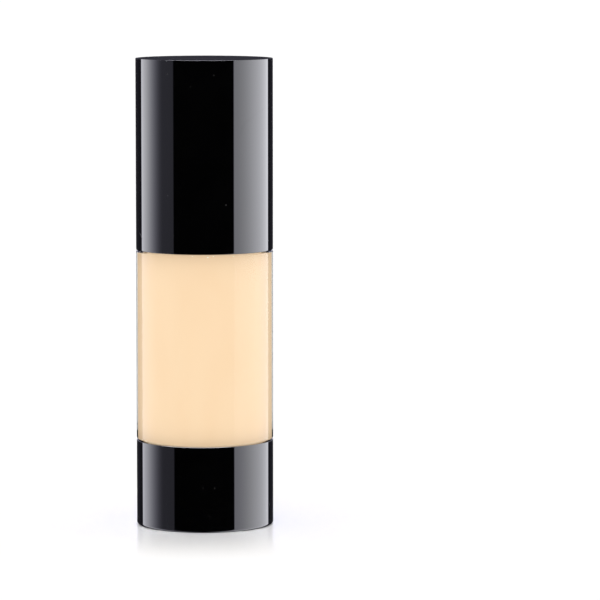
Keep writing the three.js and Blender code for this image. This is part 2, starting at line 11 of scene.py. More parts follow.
import bpy
import numpy as np
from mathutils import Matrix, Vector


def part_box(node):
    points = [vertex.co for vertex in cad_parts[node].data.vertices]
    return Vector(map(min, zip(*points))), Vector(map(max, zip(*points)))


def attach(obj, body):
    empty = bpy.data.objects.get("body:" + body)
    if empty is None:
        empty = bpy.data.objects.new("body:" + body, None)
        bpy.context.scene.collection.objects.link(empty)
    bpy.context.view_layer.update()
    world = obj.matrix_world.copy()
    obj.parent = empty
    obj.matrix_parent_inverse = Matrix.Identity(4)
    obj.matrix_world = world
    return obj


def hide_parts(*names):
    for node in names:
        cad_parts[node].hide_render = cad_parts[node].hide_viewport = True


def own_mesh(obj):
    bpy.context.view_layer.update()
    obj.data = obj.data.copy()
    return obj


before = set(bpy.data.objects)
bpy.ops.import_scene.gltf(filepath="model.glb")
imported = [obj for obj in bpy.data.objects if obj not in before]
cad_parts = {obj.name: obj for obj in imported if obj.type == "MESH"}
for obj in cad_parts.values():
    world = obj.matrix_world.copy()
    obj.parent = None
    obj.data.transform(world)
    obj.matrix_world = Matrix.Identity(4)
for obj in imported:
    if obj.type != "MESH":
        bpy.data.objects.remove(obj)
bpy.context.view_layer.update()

bl_info = {
    "name": "Foundation Bottle",
    "version": (1, 0, 0),
    "blender": (4, 5, 0),
    "location": "View3D > Sidebar > Bottle",
    "description": "Builds a pump bottle of liquid foundation with its overcap, and a light tent",
    "category": "Add Mesh",
}

MM = 0.001
SHARP_ANGLE = math.radians(32)  # two faces that fold more than this keep a crease
HOLD = 0.01 * MM  # how far a side stays flat in shading beyond a fillet
TINY = 0.01 * MM  # lengths that differ by less are the same
WIDE, MEDIUM, NARROW = 256, 128, 64  # facets round the large, middling and small pieces
RELIEF_STEP = 0.3 * MM  # height of the facets on a side that carries a relief
SEAM = 0.3 * MM  # gap where the overcap or the base meets the clear body
# The bead that clips the base to the bottle: its height, half its width, half its flat, its depth.
CLIP_Z, CLIP_HALF, CLIP_FLAT, CLIP_DEEP = 11.9 * MM, 0.8 * MM, 0.3 * MM, 0.4 * MM
THREAD_TURNS, THREAD_DROP = 1.25, 3.2 * MM  # the screw thread, and its end below the neck's rim
THREAD_FOOT, THREAD_CREST = 1.4 * MM, 0.7 * MM  # width of its ridge at the foot and at the crest


def span(node):
    """Outside radius, foot and top of a node that turns about Z."""
    low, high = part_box(node)
    return high[1], low[2], high[2]


def shoulder_height():
    """Height of the clear body's shoulder, just under the overcap's foot."""
    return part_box("overcap_shell")[0][2] - SEAM


def neck_radius():
    """Outside radius of the bottle's neck, a little less than the flange that sits on it."""
    inset = 0.2 * MM
    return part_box("pump_housing")[1][1] - inset


def clip_outline(side, fillet=0.0):
    """Points up a side past the base's clip bead, a trapezium that steps in by CLIP_DEEP."""
    return [
        (side, CLIP_Z - CLIP_HALF),
        (side - CLIP_DEEP, CLIP_Z - CLIP_FLAT, fillet),
        (side - CLIP_DEEP, CLIP_Z + CLIP_FLAT, fillet),
        (side, CLIP_Z + CLIP_HALF),
    ]


# ---------------------------------------------------------------- settings


class BottleSizes(bpy.types.PropertyGroup):
    """Walls, edges and fits that the frame's boxes don't give."""

    cap_wall: bpy.props.FloatProperty(
        name="Cap wall", description="Thickness of the overcap's side",
        default=1.1 * MM, unit="LENGTH", subtype="DISTANCE")
    cap_top: bpy.props.FloatProperty(
        name="Cap top", description="Thickness of the overcap's end",
        default=1.4 * MM, unit="LENGTH", subtype="DISTANCE")
    cap_edge: bpy.props.FloatProperty(
        name="Cap edge", description="Rounding of the overcap's top edge",
        default=0.02 * MM, unit="LENGTH", subtype="DISTANCE")
    base_wall: bpy.props.FloatProperty(
        name="Base wall", description="Thickness of the base cup's side",
        default=1.2 * MM, unit="LENGTH", subtype="DISTANCE")
    foot_edge: bpy.props.FloatProperty(
        name="Foot edge", description="Rounding of the base cup's bottom edge",
        default=0.6 * MM, unit="LENGTH", subtype="DISTANCE")
    bottle_wall: bpy.props.FloatProperty(
        name="Bottle wall", description="Thickness of the clear wall round the cream",
        default=3.0 * MM, unit="LENGTH", subtype="DISTANCE")
    shoulder_wall: bpy.props.FloatProperty(
        name="Shoulder wall", description="Clear plastic between the cream and the snap ring's top",
        default=2.2 * MM, unit="LENGTH", subtype="DISTANCE")
    snap_ring_height: bpy.props.FloatProperty(
        name="Snap ring height", description="Snap ring above the bottle's shoulder",
        default=5.4 * MM, unit="LENGTH", subtype="DISTANCE")
    snap_ring_inset: bpy.props.FloatProperty(
        name="Snap ring inset", description="Step from the bottle's side in to the snap ring",
        default=1.7 * MM, unit="LENGTH", subtype="DISTANCE")
    lug_out: bpy.props.FloatProperty(
        name="Lug height", description="How far a snap lug stands out of the ring",
        default=0.3 * MM, unit="LENGTH", subtype="DISTANCE")
    neck_wall: bpy.props.FloatProperty(
        name="Neck wall", description="Thickness of the threaded neck",
        default=1.8 * MM, unit="LENGTH", subtype="DISTANCE")
    thread_pitch: bpy.props.FloatProperty(
        name="Thread pitch", description="Rise of the screw thread in one turn",
        default=3.0 * MM, unit="LENGTH", subtype="DISTANCE")
    head_edge: bpy.props.FloatProperty(
        name="Head edge", description="Rounding of the press head's top edge",
        default=2.0 * MM, unit="LENGTH", subtype="DISTANCE")
    tip_edge: bpy.props.FloatProperty(
        name="Tip edge", description="Rounding of the spout's top edge at its tip",
        default=0.35 * MM, unit="LENGTH", subtype="DISTANCE")


class BottleColours(bpy.types.PropertyGroup):
    """Base colours of the finishes."""

    cap_black: bpy.props.FloatVectorProperty(
        name="Cap black", description="Polished overcap and base",
        default=(0.0004, 0.0004, 0.0005), subtype="COLOR", min=0, max=1)
    pump_black: bpy.props.FloatVectorProperty(
        name="Pump black", description="Shoulder ring and press head",
        default=(0.0012, 0.0012, 0.0015), subtype="COLOR", min=0, max=1)
    collar_black: bpy.props.FloatVectorProperty(
        name="Collar black", description="Collar sleeve, a softer black",
        default=(0.0085, 0.0085, 0.0095), subtype="COLOR", min=0, max=1)
    clear_tint: bpy.props.FloatVectorProperty(
        name="Clear tint", description="Clear wall of the bottle",
        default=(0.97, 0.985, 0.985), subtype="COLOR", min=0, max=1)
    cream: bpy.props.FloatVectorProperty(
        name="Cream", description="The foundation itself",
        default=(0.578, 0.429, 0.280), subtype="COLOR", min=0, max=1)
    natural: bpy.props.FloatVectorProperty(
        name="Natural plastic", description="Unpigmented moulded parts",
        default=(0.72, 0.73, 0.72), subtype="COLOR", min=0, max=1)
    steel: bpy.props.FloatVectorProperty(
        name="Steel", description="Spring and check ball",
        default=(0.62, 0.62, 0.63), subtype="COLOR", min=0, max=1)
    rubber: bpy.props.FloatVectorProperty(
        name="Gasket", description="Soft seal under the pump's flange",
        default=(0.70, 0.70, 0.67), subtype="COLOR", min=0, max=1)


class StudioSettings(bpy.types.PropertyGroup):
    """Camera place and the brightness of the light tent."""

    eye_side: bpy.props.FloatProperty(
        name="Camera side", description="Camera to the right of the bottle's axis",
        default=23.7 * MM, unit="LENGTH", subtype="DISTANCE")
    eye_back: bpy.props.FloatProperty(
        name="Camera distance", description="Camera in front of the bottle's axis",
        default=965 * MM, unit="LENGTH", subtype="DISTANCE")
    eye_height: bpy.props.FloatProperty(
        name="Camera height", description="Camera above the floor",
        default=152.4 * MM, unit="LENGTH", subtype="DISTANCE")
    aim_height: bpy.props.FloatProperty(
        name="Aim height", description="Height on the bottle's plane at the middle of the frame",
        default=55.9 * MM, unit="LENGTH", subtype="DISTANCE")
    lens: bpy.props.FloatProperty(
        name="Focal length", description="Lens in millimetres on a 36 mm sensor", default=234.0)
    tent: bpy.props.FloatProperty(
        name="Tent light", description="Even light that falls on every surface", default=1.12, min=0)
    white: bpy.props.FloatProperty(
        name="White", description="Brightness of the white that the eye sees behind the bottle",
        default=1.05, min=0)
    strip_right: bpy.props.FloatProperty(
        name="Right strip", description="Brightness of the right-hand strip in reflections",
        default=6.3, min=0)
    strip_left: bpy.props.FloatProperty(
        name="Left strip", description="Brightness of the left-hand strip in reflections",
        default=4.6, min=0)
    backdrop: bpy.props.FloatProperty(
        name="Backdrop", description="Brightness of the white sweep in the floor's sheen",
        default=1.3, min=0)
    top_light: bpy.props.FloatProperty(
        name="Top light", description="Brightness of the long overhead light in reflections",
        default=52.0, min=0)


# ---------------------------------------------------------------- surfaces


def round_corners(outline, closed, steps=6):
    """Points of an outline whose corners may have a third number, the fillet's radius.

    A fillet's centre lies on the corner's bisector, at radius over the sine of half the
    corner's angle, and the arc swings between the two points where it touches the sides.
    One more point, HOLD along each side from the arc, keeps the long faces flat in shading.
    """
    corners = [np.array(corner[:2], float) for corner in outline]
    count = len(corners)
    result = []
    for i, corner in enumerate(corners):
        radius = outline[i][2] if len(outline[i]) > 2 else 0
        if not radius or (not closed and i in (0, count - 1)):
            result.append(corner[None])
            continue
        before, after = corners[i - 1] - corner, corners[(i + 1) % count] - corner
        before /= np.linalg.norm(before)
        after /= np.linalg.norm(after)
        half = math.acos(np.clip(before @ after, -1, 1)) / 2
        start = corner + before * radius / math.tan(half)
        end = corner + after * radius / math.tan(half)
        bisector = (before + after) / np.linalg.norm(before + after)
        centre = corner + bisector * radius / math.sin(half)
        along = np.linspace(0, 1, steps + 1)[:, None]
        spokes = (start - centre) * (1 - along) + (end - centre) * along
        spokes *= radius / np.linalg.norm(spokes, axis=1, keepdims=True)
        arc = centre + spokes
        result.append(np.concatenate([start[None] + before * HOLD, arc, end[None] + after * HOLD]))
    return np.concatenate(result)


def refine(points, radii):
    """The same outline, with short steps up the sides at the given radii for a relief to bend."""
    result = []
    for start, end in zip(points, np.roll(points, -1, axis=0)):
        bent = any(max(abs(start[0] - r), abs(end[0] - r)) < TINY for r in radii)
        parts = max(1, math.ceil(np.linalg.norm(end - start) / RELIEF_STEP)) if bent else 1
        along = np.arange(parts)[:, None] / parts
        result.append(start + (end - start) * along)
    return np.concatenate(result)


def to_object(name, points, quads, triangles=None):
    """A mesh object from arrays of points, four-cornered faces and three-cornered faces."""
    triangles = np.empty((0, 3), int) if triangles is None else triangles
    corners = np.concatenate([quads.ravel(), triangles.ravel()]).astype(np.int32)
    starts = np.concatenate([
        np.arange(len(quads)) * 4,
        len(quads) * 4 + np.arange(len(triangles)) * 3,
    ]).astype(np.int32)
    mesh = bpy.data.meshes.new(name)
    mesh.vertices.add(len(points))
    mesh.vertices.foreach_set("co", points.astype(np.float32).ravel())
    mesh.loops.add(len(corners))
    mesh.loops.foreach_set("vertex_index", corners)
    mesh.polygons.add(len(starts))
    mesh.polygons.foreach_set("loop_start", starts)
    mesh.polygons.foreach_set("use_smooth", np.ones(len(starts), bool))
    mesh.update(calc_edges=True)
    mesh.validate()
    mesh.set_sharp_from_angle(angle=SHARP_ANGLE)
    item = bpy.data.objects.new(name, mesh)
    bpy.context.scene.collection.objects.link(item)
    return item


def grid_faces(rows, columns, wrap_rows):
    """Faces of a grid whose columns close on themselves, and whose rows may do so too."""
    last = rows if wrap_rows else rows - 1
    row, column = np.meshgrid(np.arange(last), np.arange(columns), indexing="ij")
    next_row, next_column = (row + 1) % rows, (column + 1) % columns
    corners = [
        row * columns + column,
        row * columns + next_column,
        next_row * columns + next_column,
        next_row * columns + column,
    ]
    return np.stack(corners, axis=-1).reshape(-1, 4)


def end_fans(rings, facets):
    """Triangles that close a grid's first and last ring on two points added after the grid."""
    here = np.arange(facets)
    following = (here + 1) % facets
    last, poles = (rings - 1) * facets, rings * facets
    return np.concatenate([
        np.stack([np.full(facets, poles), following, here], axis=-1),
        np.stack([np.full(facets, poles + 1), last + here, last + following], axis=-1),
    ])


def revolve(name, outline, facets, closed=True, relief=None, radii=()):
    """Turns an outline of (radius, height[, fillet]) points about Z.

    x is radius times the cosine of the angle, y is radius times its sine, and z is the
    height. relief(angle, radius, height) gives a length to add to the radius; the sides
    at the given radii are cut into steps for it. A closed outline runs anticlockwise; an
    open one starts and ends on the axis, where it closes in a fan of triangles.
    """
    points = round_corners(outline, closed)
    if relief is not None:
        points = refine(points, radii)
    poles = [[0, 0, points[0, 1]], [0, 0, points[-1, 1]]]
    if not closed:
        points = points[1:-1]
    angle = np.linspace(0, 2 * math.pi, facets, endpoint=False)[None]
    radius = np.repeat(points[:, :1], facets, axis=1)
    height = np.repeat(points[:, 1:], facets, axis=1)
    if relief is not None:
        radius = radius + relief(angle, radius, height)
    grid = np.stack([radius * np.cos(angle), radius * np.sin(angle), height], axis=-1).reshape(-1, 3)
    quads = grid_faces(len(points), facets, closed)
    if closed:
        return to_object(name, grid, quads)
    return to_object(name, np.concatenate([grid, poles]), quads, end_fans(len(points), facets))


def window(value, low, high, soft):
    """1 between low and high and 0 outside, with flanks of 3 t squared minus 2 t cubed, soft wide."""
    rise = np.clip((value - low) / soft, 0, 1)
    fall = np.clip((high - value) / soft, 0, 1)
    return rise * rise * (3 - 2 * rise) * fall * fall * (3 - 2 * fall)


def ridge(angle, height, pitch, top):
    """How far the right-hand screw ridge stands up at an angle and height, from 0 to 1.

    The ridge's centre line rises by one pitch a turn and ends at top, at angle 0. Each
    point looks at the nearest coil of that line, and the ridge is a trapezium across it.
    Its two ends ease in over a share of a turn.
    """
    ease = 0.12 * pitch
    lowest = top - pitch * THREAD_TURNS
    base = top - pitch * (1 - angle / (2 * math.pi) % 1)
    coil = np.round((height - base) / pitch)
    centre = base + coil * pitch
    inside = window(centre, lowest, top, ease)
    across = np.abs(height - centre)
    slope = (THREAD_FOOT - across * 2) / (THREAD_FOOT - THREAD_CREST)
    return np.clip(slope, 0, 1) * inside


def finish_piece(item, body, slot, material, *nodes):
    """Gives a piece its material and body, and hides the nodes that it stands for; its finish slot is not
    used.
    """
    item.data.materials.append(material)
    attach(item, body)
    if nodes:
        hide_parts(*nodes)
    return item


# ---------------------------------------------------------------- node groups and materials


def new_group(name, inputs, outputs):
    """A shader node group with named value inputs and outputs, and its two end nodes."""
    group = bpy.data.node_groups.new(name, "ShaderNodeTree")
    for label, default in inputs:
        socket = group.interface.new_socket(label, in_out="INPUT", socket_type="NodeSocketFloat")
        socket.default_value = default
    for label in outputs:
        group.interface.new_socket(label, in_out="OUTPUT", socket_type="NodeSocketFloat")
    return group, group.nodes.new("NodeGroupInput"), group.nodes.new("NodeGroupOutput")


def add(tree, kind, **sockets):
    """Adds a node; sockets named in_0, in_1 and so on take values, or links from outputs."""
    node = tree.nodes.new(kind)
    for label, value in sockets.items():
        if label.startswith("in_"):
            key = label[3:]
            target = node.inputs[int(key) if key.isdigit() else key.replace("_", " ")]
            if isinstance(value, bpy.types.NodeSocket):
                tree.links.new(value, target)
            else:
                target.default_value = value
        else:
            setattr(node, label, value)
    return node


def maths(tree, operation, *values):
    """One Math node's result."""
    sockets = {f"in_{i}": value for i, value in enumerate(values)}
    return add(tree, "ShaderNodeMath", operation=operation, **sockets).outputs[0]


def between(tree, value, low, high, to_low=0.0, to_high=1.0, smooth=False):
    """A value mapped from one range to another and held inside it."""
    node = add(tree, "ShaderNodeMapRange", interpolation_type="SMOOTHSTEP" if smooth else "LINEAR",
               in_0=value, in_1=low, in_2=high, in_3=to_low, in_4=to_high)
    return node.outputs[0]


def product(tree, *values):
    """Values and outputs multiplied together."""
    return functools.reduce(lambda first, second: maths(tree, "MULTIPLY", first, second), values)


def band(tree, value, rise, fall):
    """1 between two limits and 0 outside; rise and fall are the pairs that it changes over."""
    return product(tree, between(tree, value, *rise), between(tree, value, *fall, 1.0, 0.0))


def hairlines_group():
    """Faint handling marks: thin lines where a stretched noise crosses its middle value."""
    tree, given, result = new_group("Hairlines", [("Spacing", 90.0), ("Width", 0.012)], ["Mask"])
    where = add(tree, "ShaderNodeTexCoord").outputs["Object"]
    lines = []
    for turn, stretch in ((0.5, (1.0, 1.0, 0.10)), (1.9, (0.16, 1.0, 1.0))):
        turned = add(tree, "ShaderNodeMapping", in_Vector=where)
        turned.inputs["Rotation"].default_value = (turn, turn * 0.7, turn * 1.3)
        turned.inputs["Scale"].default_value = stretch
        noise = add(tree, "ShaderNodeTexNoise", in_Vector=turned.outputs[0],
                    in_Scale=given.outputs["Spacing"], in_Detail=1.0)
        offset = maths(tree, "ABSOLUTE", maths(tree, "SUBTRACT", noise.outputs[0], 0.5))
        line = maths(tree, "LESS_THAN", offset, given.outputs["Width"])
        gate = add(tree, "ShaderNodeTexNoise", in_Vector=turned.outputs[0], in_Scale=35.0 + 20 * turn)
        lines.append(product(tree, line, between(tree, gate.outputs[0], 0.56, 0.66)))
    tree.links.new(maths(tree, "MAXIMUM", *lines), result.inputs["Mask"])
    return tree


def dust_group():
    """Specks of dust: small dots at the middles of scattered cells."""
    tree, given, result = new_group("Dust", [("Scale", 900.0), ("Amount", 0.5)], ["Mask"])
    where = add(tree, "ShaderNodeTexCoord").outputs["Object"]
    cells = add(tree, "ShaderNodeTexVoronoi", in_Vector=where, in_Scale=given.outputs["Scale"])
    dot = between(tree, cells.outputs["Distance"], 0.10, 0.16, 1.0, 0.0)
    pick = add(tree, "ShaderNodeSeparateColor", in_0=cells.outputs["Color"]).outputs[0]
    kept = maths(tree, "GREATER_THAN", pick, 0.93)
    patch = add(tree, "ShaderNodeTexNoise", in_Vector=where, in_Scale=60.0)
    some = between(tree, patch.outputs[0], 0.45, 0.65)
    tree.links.new(product(tree, dot, kept, some, given.outputs["Amount"]), result.inputs["Mask"])
    return tree


def moulding_group():
    """The slight unevenness of a moulded face: long soft waves with a fine grain on them."""
    inputs = [("Wave scale", 60.0), ("Grain scale", 2500.0), ("Grain share", 0.2)]
    tree, given, result = new_group("Moulding", inputs, ["Height", "Cloud"])
    where = add(tree, "ShaderNodeTexCoord").outputs["Object"]
    wave = add(tree, "ShaderNodeTexNoise", in_Vector=where, in_Scale=given.outputs["Wave scale"],
               in_Detail=1.0)
    grain = add(tree, "ShaderNodeTexNoise", in_Vector=where, in_Scale=given.outputs["Grain scale"],
                in_Detail=3.0)
    fine = product(tree, grain.outputs[0], given.outputs["Grain share"])
    tree.links.new(maths(tree, "ADD", wave.outputs[0], fine), result.inputs["Height"])
    cloud = add(tree, "ShaderNodeTexNoise", in_Vector=where, in_Scale=given.outputs["Wave scale"],
                in_Detail=4.0, in_Roughness=0.6)
    tree.links.new(cloud.outputs[0], result.inputs["Cloud"])
    return tree


GROUPS = {"Hairlines": hairlines_group, "Dust": dust_group, "Moulding": moulding_group}


def place_group(tree, name, **values):
    """A shared group, built the first time, with this material's own values."""
    node = tree.nodes.new("ShaderNodeGroup")
    node.node_tree = bpy.data.node_groups.get(name) or GROUPS[name]()
    for label, value in values.items():
        node.inputs[label.replace("_", " ")].default_value = value
    return node


def new_material(name, **settings):
    """A material with one Principled shader, whose sockets take the settings."""
    material = bpy.data.materials.new(name)
    material.use_nodes = True
    shader = material.node_tree.nodes["Principled BSDF"]
    for label, value in settings.items():
        shader.inputs[label.replace("_", " ")].default_value = value
    return material, material.node_tree, shader


def blend_colours(tree, mask, first, second):
    """A mix of two colours by a mask."""
    node = add(tree, "ShaderNodeMix", data_type="RGBA")
    tree.links.new(mask, node.inputs[0])
    for socket, colour in ((node.inputs[6], first), (node.inputs[7], second)):
        if isinstance(colour, bpy.types.NodeSocket):
            tree.links.new(colour, socket)
        else:
            socket.default_value = (*colour[:3], 1)
    return node.outputs[2]


def bump(tree, shader, height, distance):
    """Feeds a height through a Bump node to the shader's normal."""
    node = add(tree, "ShaderNodeBump", in_Height=height, in_Distance=distance, in_Strength=1.0)
    tree.links.new(node.outputs[0], shader.inputs["Normal"])


def shade(colour, *shares):
    """A colour times one share, or times a share for each of its channels."""
    return tuple(np.multiply(colour, shares))


def made_once(name):
    """Marks the builder of a material, which pieces of the same finish then share."""
    def wrap(build):
        @functools.wraps(build)
        def find(colour):
            return bpy.data.materials.get(name) or build(name, colour)
        return find
    return wrap


def polished_black(name, colour, roughness, index, wave, wave_depth):
    """Polished black moulding, with soft waves, handling marks and a little dust."""
    dust_grey, wear = (0.22, 0.22, 0.21), 0.16
    material, tree, shader = new_material(name, IOR=index)
    moulding = place_group(tree, "Moulding", Wave_scale=wave, Grain_scale=1800.0, Grain_share=0.02)
    marks = place_group(tree, "Hairlines", Spacing=70.0, Width=0.006)
    dust = place_group(tree, "Dust", Scale=700.0, Amount=0.12)
    lighter = tuple(min(1.0, c * 1.6 + 0.0002) for c in colour)
    clouded = blend_colours(tree, between(tree, moulding.outputs["Cloud"], 0.35, 0.65), colour, lighter)
    dusty = blend_colours(tree, dust.outputs[0], clouded, dust_grey)
    tree.links.new(dusty, shader.inputs["Base Color"])
    worn = between(tree, marks.outputs[0], 0.0, 1.0, roughness, roughness + wear)
    cloudy = between(tree, moulding.outputs["Cloud"], 0.3, 0.7, 0.0, 0.012)
    tree.links.new(maths(tree, "ADD", worn, cloudy), shader.inputs["Roughness"])
    bump(tree, shader, moulding.outputs["Height"], wave_depth)
    return material


@made_once("Cap black")
def cap_finish(name, colour):
    """Overcap and base: a mirror polish over long soft waves."""
    return polished_black(name, colour, 0.012, index=1.5, wave=60.0, wave_depth=0.0005 * MM)


@made_once("Pump black")
def head_finish(name, colour):
    """Press head and shoulder ring: a plain moulded gloss."""
    return polished_black(name, colour, 0.06, index=1.26, wave=140.0, wave_depth=0.0015 * MM)


@made_once("Collar black")
def collar_finish(name, colour):
    """Collar sleeve: a softer gloss."""
    return polished_black(name, colour, 0.10, index=1.2, wave=100.0, wave_depth=0.0015 * MM)


@made_once("Clear wall")
def clear_plastic(name, colour):
    """Clear moulded wall: it bends the view, and lets lamp and bounced light straight in.

    It darkens where it is seen edge on, through more of its thickness.
    """
    material, tree, shader = new_material(name, IOR=1.18, Transmission_Weight=1.0, Metallic=0.0)
    moulding = place_group(tree, "Moulding", Wave_scale=45.0, Grain_scale=900.0, Grain_share=0.01)
    marks = place_group(tree, "Hairlines", Spacing=60.0, Width=0.004)
    facing = tree.nodes.new("ShaderNodeLayerWeight").outputs["Facing"]
    edge = between(tree, facing, 0.34, 0.66, smooth=True)
    clouded = blend_colours(tree, moulding.outputs["Cloud"], colour, shade(colour, 0.985))
    tinted = blend_colours(tree, edge, clouded, shade(colour, 0.74))
    tree.links.new(tinted, shader.inputs["Base Color"])
    rough = between(tree, marks.outputs[0], 0.0, 1.0, 0.012, 0.10)
    tree.links.new(rough, shader.inputs["Roughness"])
    bump(tree, shader, moulding.outputs["Height"], 0.001 * MM)
    path = tree.nodes.new("ShaderNodeLightPath")
    straight = maths(tree, "MAXIMUM", path.outputs["Is Shadow Ray"], path.outputs["Is Diffuse Ray"])
    through = tree.nodes.new("ShaderNodeBsdfTransparent")
    mix = add(tree, "ShaderNodeMixShader", in_0=straight, in_1=shader.outputs[0], in_2=through.outputs[0])
    output = tree.nodes["Material Output"]
    tree.links.new(mix.outputs[0], output.inputs["Surface"])
    return material


@made_once("Cream")
def cream(name, colour):
    """Opaque cream pressed against the wall: faint swirls of pigment and soft settling bands.

    Its emission is painted light: the cream glows evenly in its own colour, which stands in for light that
    scatters about inside it and flattens its shade.
    """
    material, tree, shader = new_material(
        name, Roughness=0.5, IOR=1.3, Specular_IOR_Level=0.0, Emission_Strength=0.7)
    where = add(tree, "ShaderNodeTexCoord").outputs["Object"]
    drawn = add(tree, "ShaderNodeMapping", in_Vector=where)
    drawn.inputs["Scale"].default_value = (1.0, 1.0, 0.35)
    swirl = add(tree, "ShaderNodeTexNoise", in_Vector=drawn.outputs[0], in_Scale=70.0, in_Detail=3.0,
                in_Distortion=1.6)
    fine = add(tree, "ShaderNodeTexNoise", in_Vector=where, in_Scale=1600.0, in_Detail=2.0)
    deep = shade(colour, 0.985, 0.965, 0.945)
    swirled = blend_colours(tree, between(tree, swirl.outputs[0], 0.35, 0.7), colour, deep)
    speckled = blend_colours(tree, between(tree, fine.outputs[0], 0.62, 0.72, 0.0, 0.15), swirled, deep)
    tree.links.new(speckled, shader.inputs["Base Color"])
    # Painted light: the same colour glows as emission, so the cream looks evenly lit.
    tree.links.new(speckled, shader.inputs["Emission Color"])
    bump(tree, shader, swirl.outputs[0], 0.01 * MM)
    return material


@made_once("Natural plastic")
def natural_plastic(name, colour):
    """Unpigmented polypropylene: milky, slightly grained, faintly uneven in tone."""
    dust_grey = (0.35, 0.34, 0.32)
    material, tree, shader = new_material(name, IOR=1.49)
    moulding = place_group(tree, "Moulding", Wave_scale=120.0, Grain_scale=3000.0, Grain_share=0.6)
    dust = place_group(tree, "Dust", Scale=900.0, Amount=0.2)
    cloud = between(tree, moulding.outputs["Cloud"], 0.35, 0.65)
    milky = blend_colours(tree, cloud, colour, shade(colour, 0.93))
    dusty = blend_colours(tree, dust.outputs[0], milky, dust_grey)
    tree.links.new(dusty, shader.inputs["Base Color"])
    rough = between(tree, moulding.outputs["Cloud"], 0.3, 0.7, 0.36, 0.48)
    tree.links.new(rough, shader.inputs["Roughness"])
    bump(tree, shader, moulding.outputs["Height"], 0.004 * MM)
    return material


@made_once("Drawn steel")
def drawn_steel(name, colour):
    """Bright steel wire and ball, with fine lines left by the drawing."""
    material, tree, shader = new_material(name, Metallic=1.0)
    moulding = place_group(tree, "Moulding", Wave_scale=300.0, Grain_scale=6000.0, Grain_share=0.8)
    marks = place_group(tree, "Hairlines", Spacing=400.0, Width=0.02)
    toned = blend_colours(tree, moulding.outputs["Cloud"], colour, shade(colour, 0.8))
    tree.links.new(toned, shader.inputs["Base Color"])
    rough = between(tree, marks.outputs[0], 0.0, 1.0, 0.22, 0.4)
    tree.links.new(rough, shader.inputs["Roughness"])
    bump(tree, shader, moulding.outputs["Height"], 0.002 * MM)
    return material


@made_once("Soft rubber")
def soft_rubber(name, colour):
    """Matt elastomer with a fine grain."""
    material, tree, shader = new_material(name, IOR=1.45)
    moulding = place_group(tree, "Moulding", Wave_scale=200.0, Grain_scale=4000.0, Grain_share=1.0)
    toned = blend_colours(tree, moulding.outputs["Cloud"], colour, shade(colour, 0.88))
    tree.links.new(toned, shader.inputs["Base Color"])
    rough = between(tree, moulding.outputs["Cloud"], 0.3, 0.7, 0.6, 0.75)
    tree.links.new(rough, shader.inputs["Roughness"])
    bump(tree, shader, moulding.outputs["Height"], 0.006 * MM)
    return material


# ---------------------------------------------------------------- container


class BOTTLE_OT_base(bpy.types.Operator):
    """Base cup, which the bottle stands in, and the plug that closes the bottle's foot"""

    bl_idname = "bottle.base"
    bl_label = "Base"

    def execute(self, context):
        sizes, colours = context.scene.bottle_sizes, context.scene.bottle_colours
        radius, foot, top = span("base_cup")
        bore = radius - sizes.base_wall
        recess, floor, vent, draft = 0.4 * MM, 1.9 * MM, 1.5 * MM, 0.25 * MM
        rim = radius - 2.8 * MM  # where the ring that it stands on begins
        cup = revolve("base_cup_fine", [
            (vent, recess, 0.15 * MM),
            (rim, recess, 0.2 * MM),
            (rim + draft, foot, 0.1 * MM),
            (radius, foot, sizes.foot_edge),
            (radius, top, 0.1 * MM),
            (bore, top, 0.1 * MM),
            *reversed(clip_outline(bore, 0.1 * MM)),
            (bore, floor, 0.5 * MM),
            (vent, floor, 0.15 * MM),
        ], WIDE)
        finish_piece(cup, "container", "black_gloss", cap_finish(colours.cap_black), "base_cup")

        flange, low, high = span("base_plug")
        flange_top, floor = low + 0.7 * MM, low + 1.2 * MM
        fit, wall, vent = 0.15 * MM, 1.1 * MM, 0.8 * MM
        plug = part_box("follower_piston")[1][1] - fit
        stopper = revolve("base_plug_fine", [
            (vent, low, 0.1 * MM),
            (flange, low, 0.15 * MM),
            (flange, flange_top, 0.1 * MM),
            (plug, flange_top),
            (plug, high, 0.3 * MM),
            (plug - wall, high, 0.3 * MM),
            (plug - wall, floor, 0.4 * MM),
            (vent, floor, 0.1 * MM),
        ], MEDIUM)
        natural = natural_plastic(colours.natural)
        finish_piece(stopper, "container", "natural_plastic", natural, "base_plug")
        return {"FINISHED"}


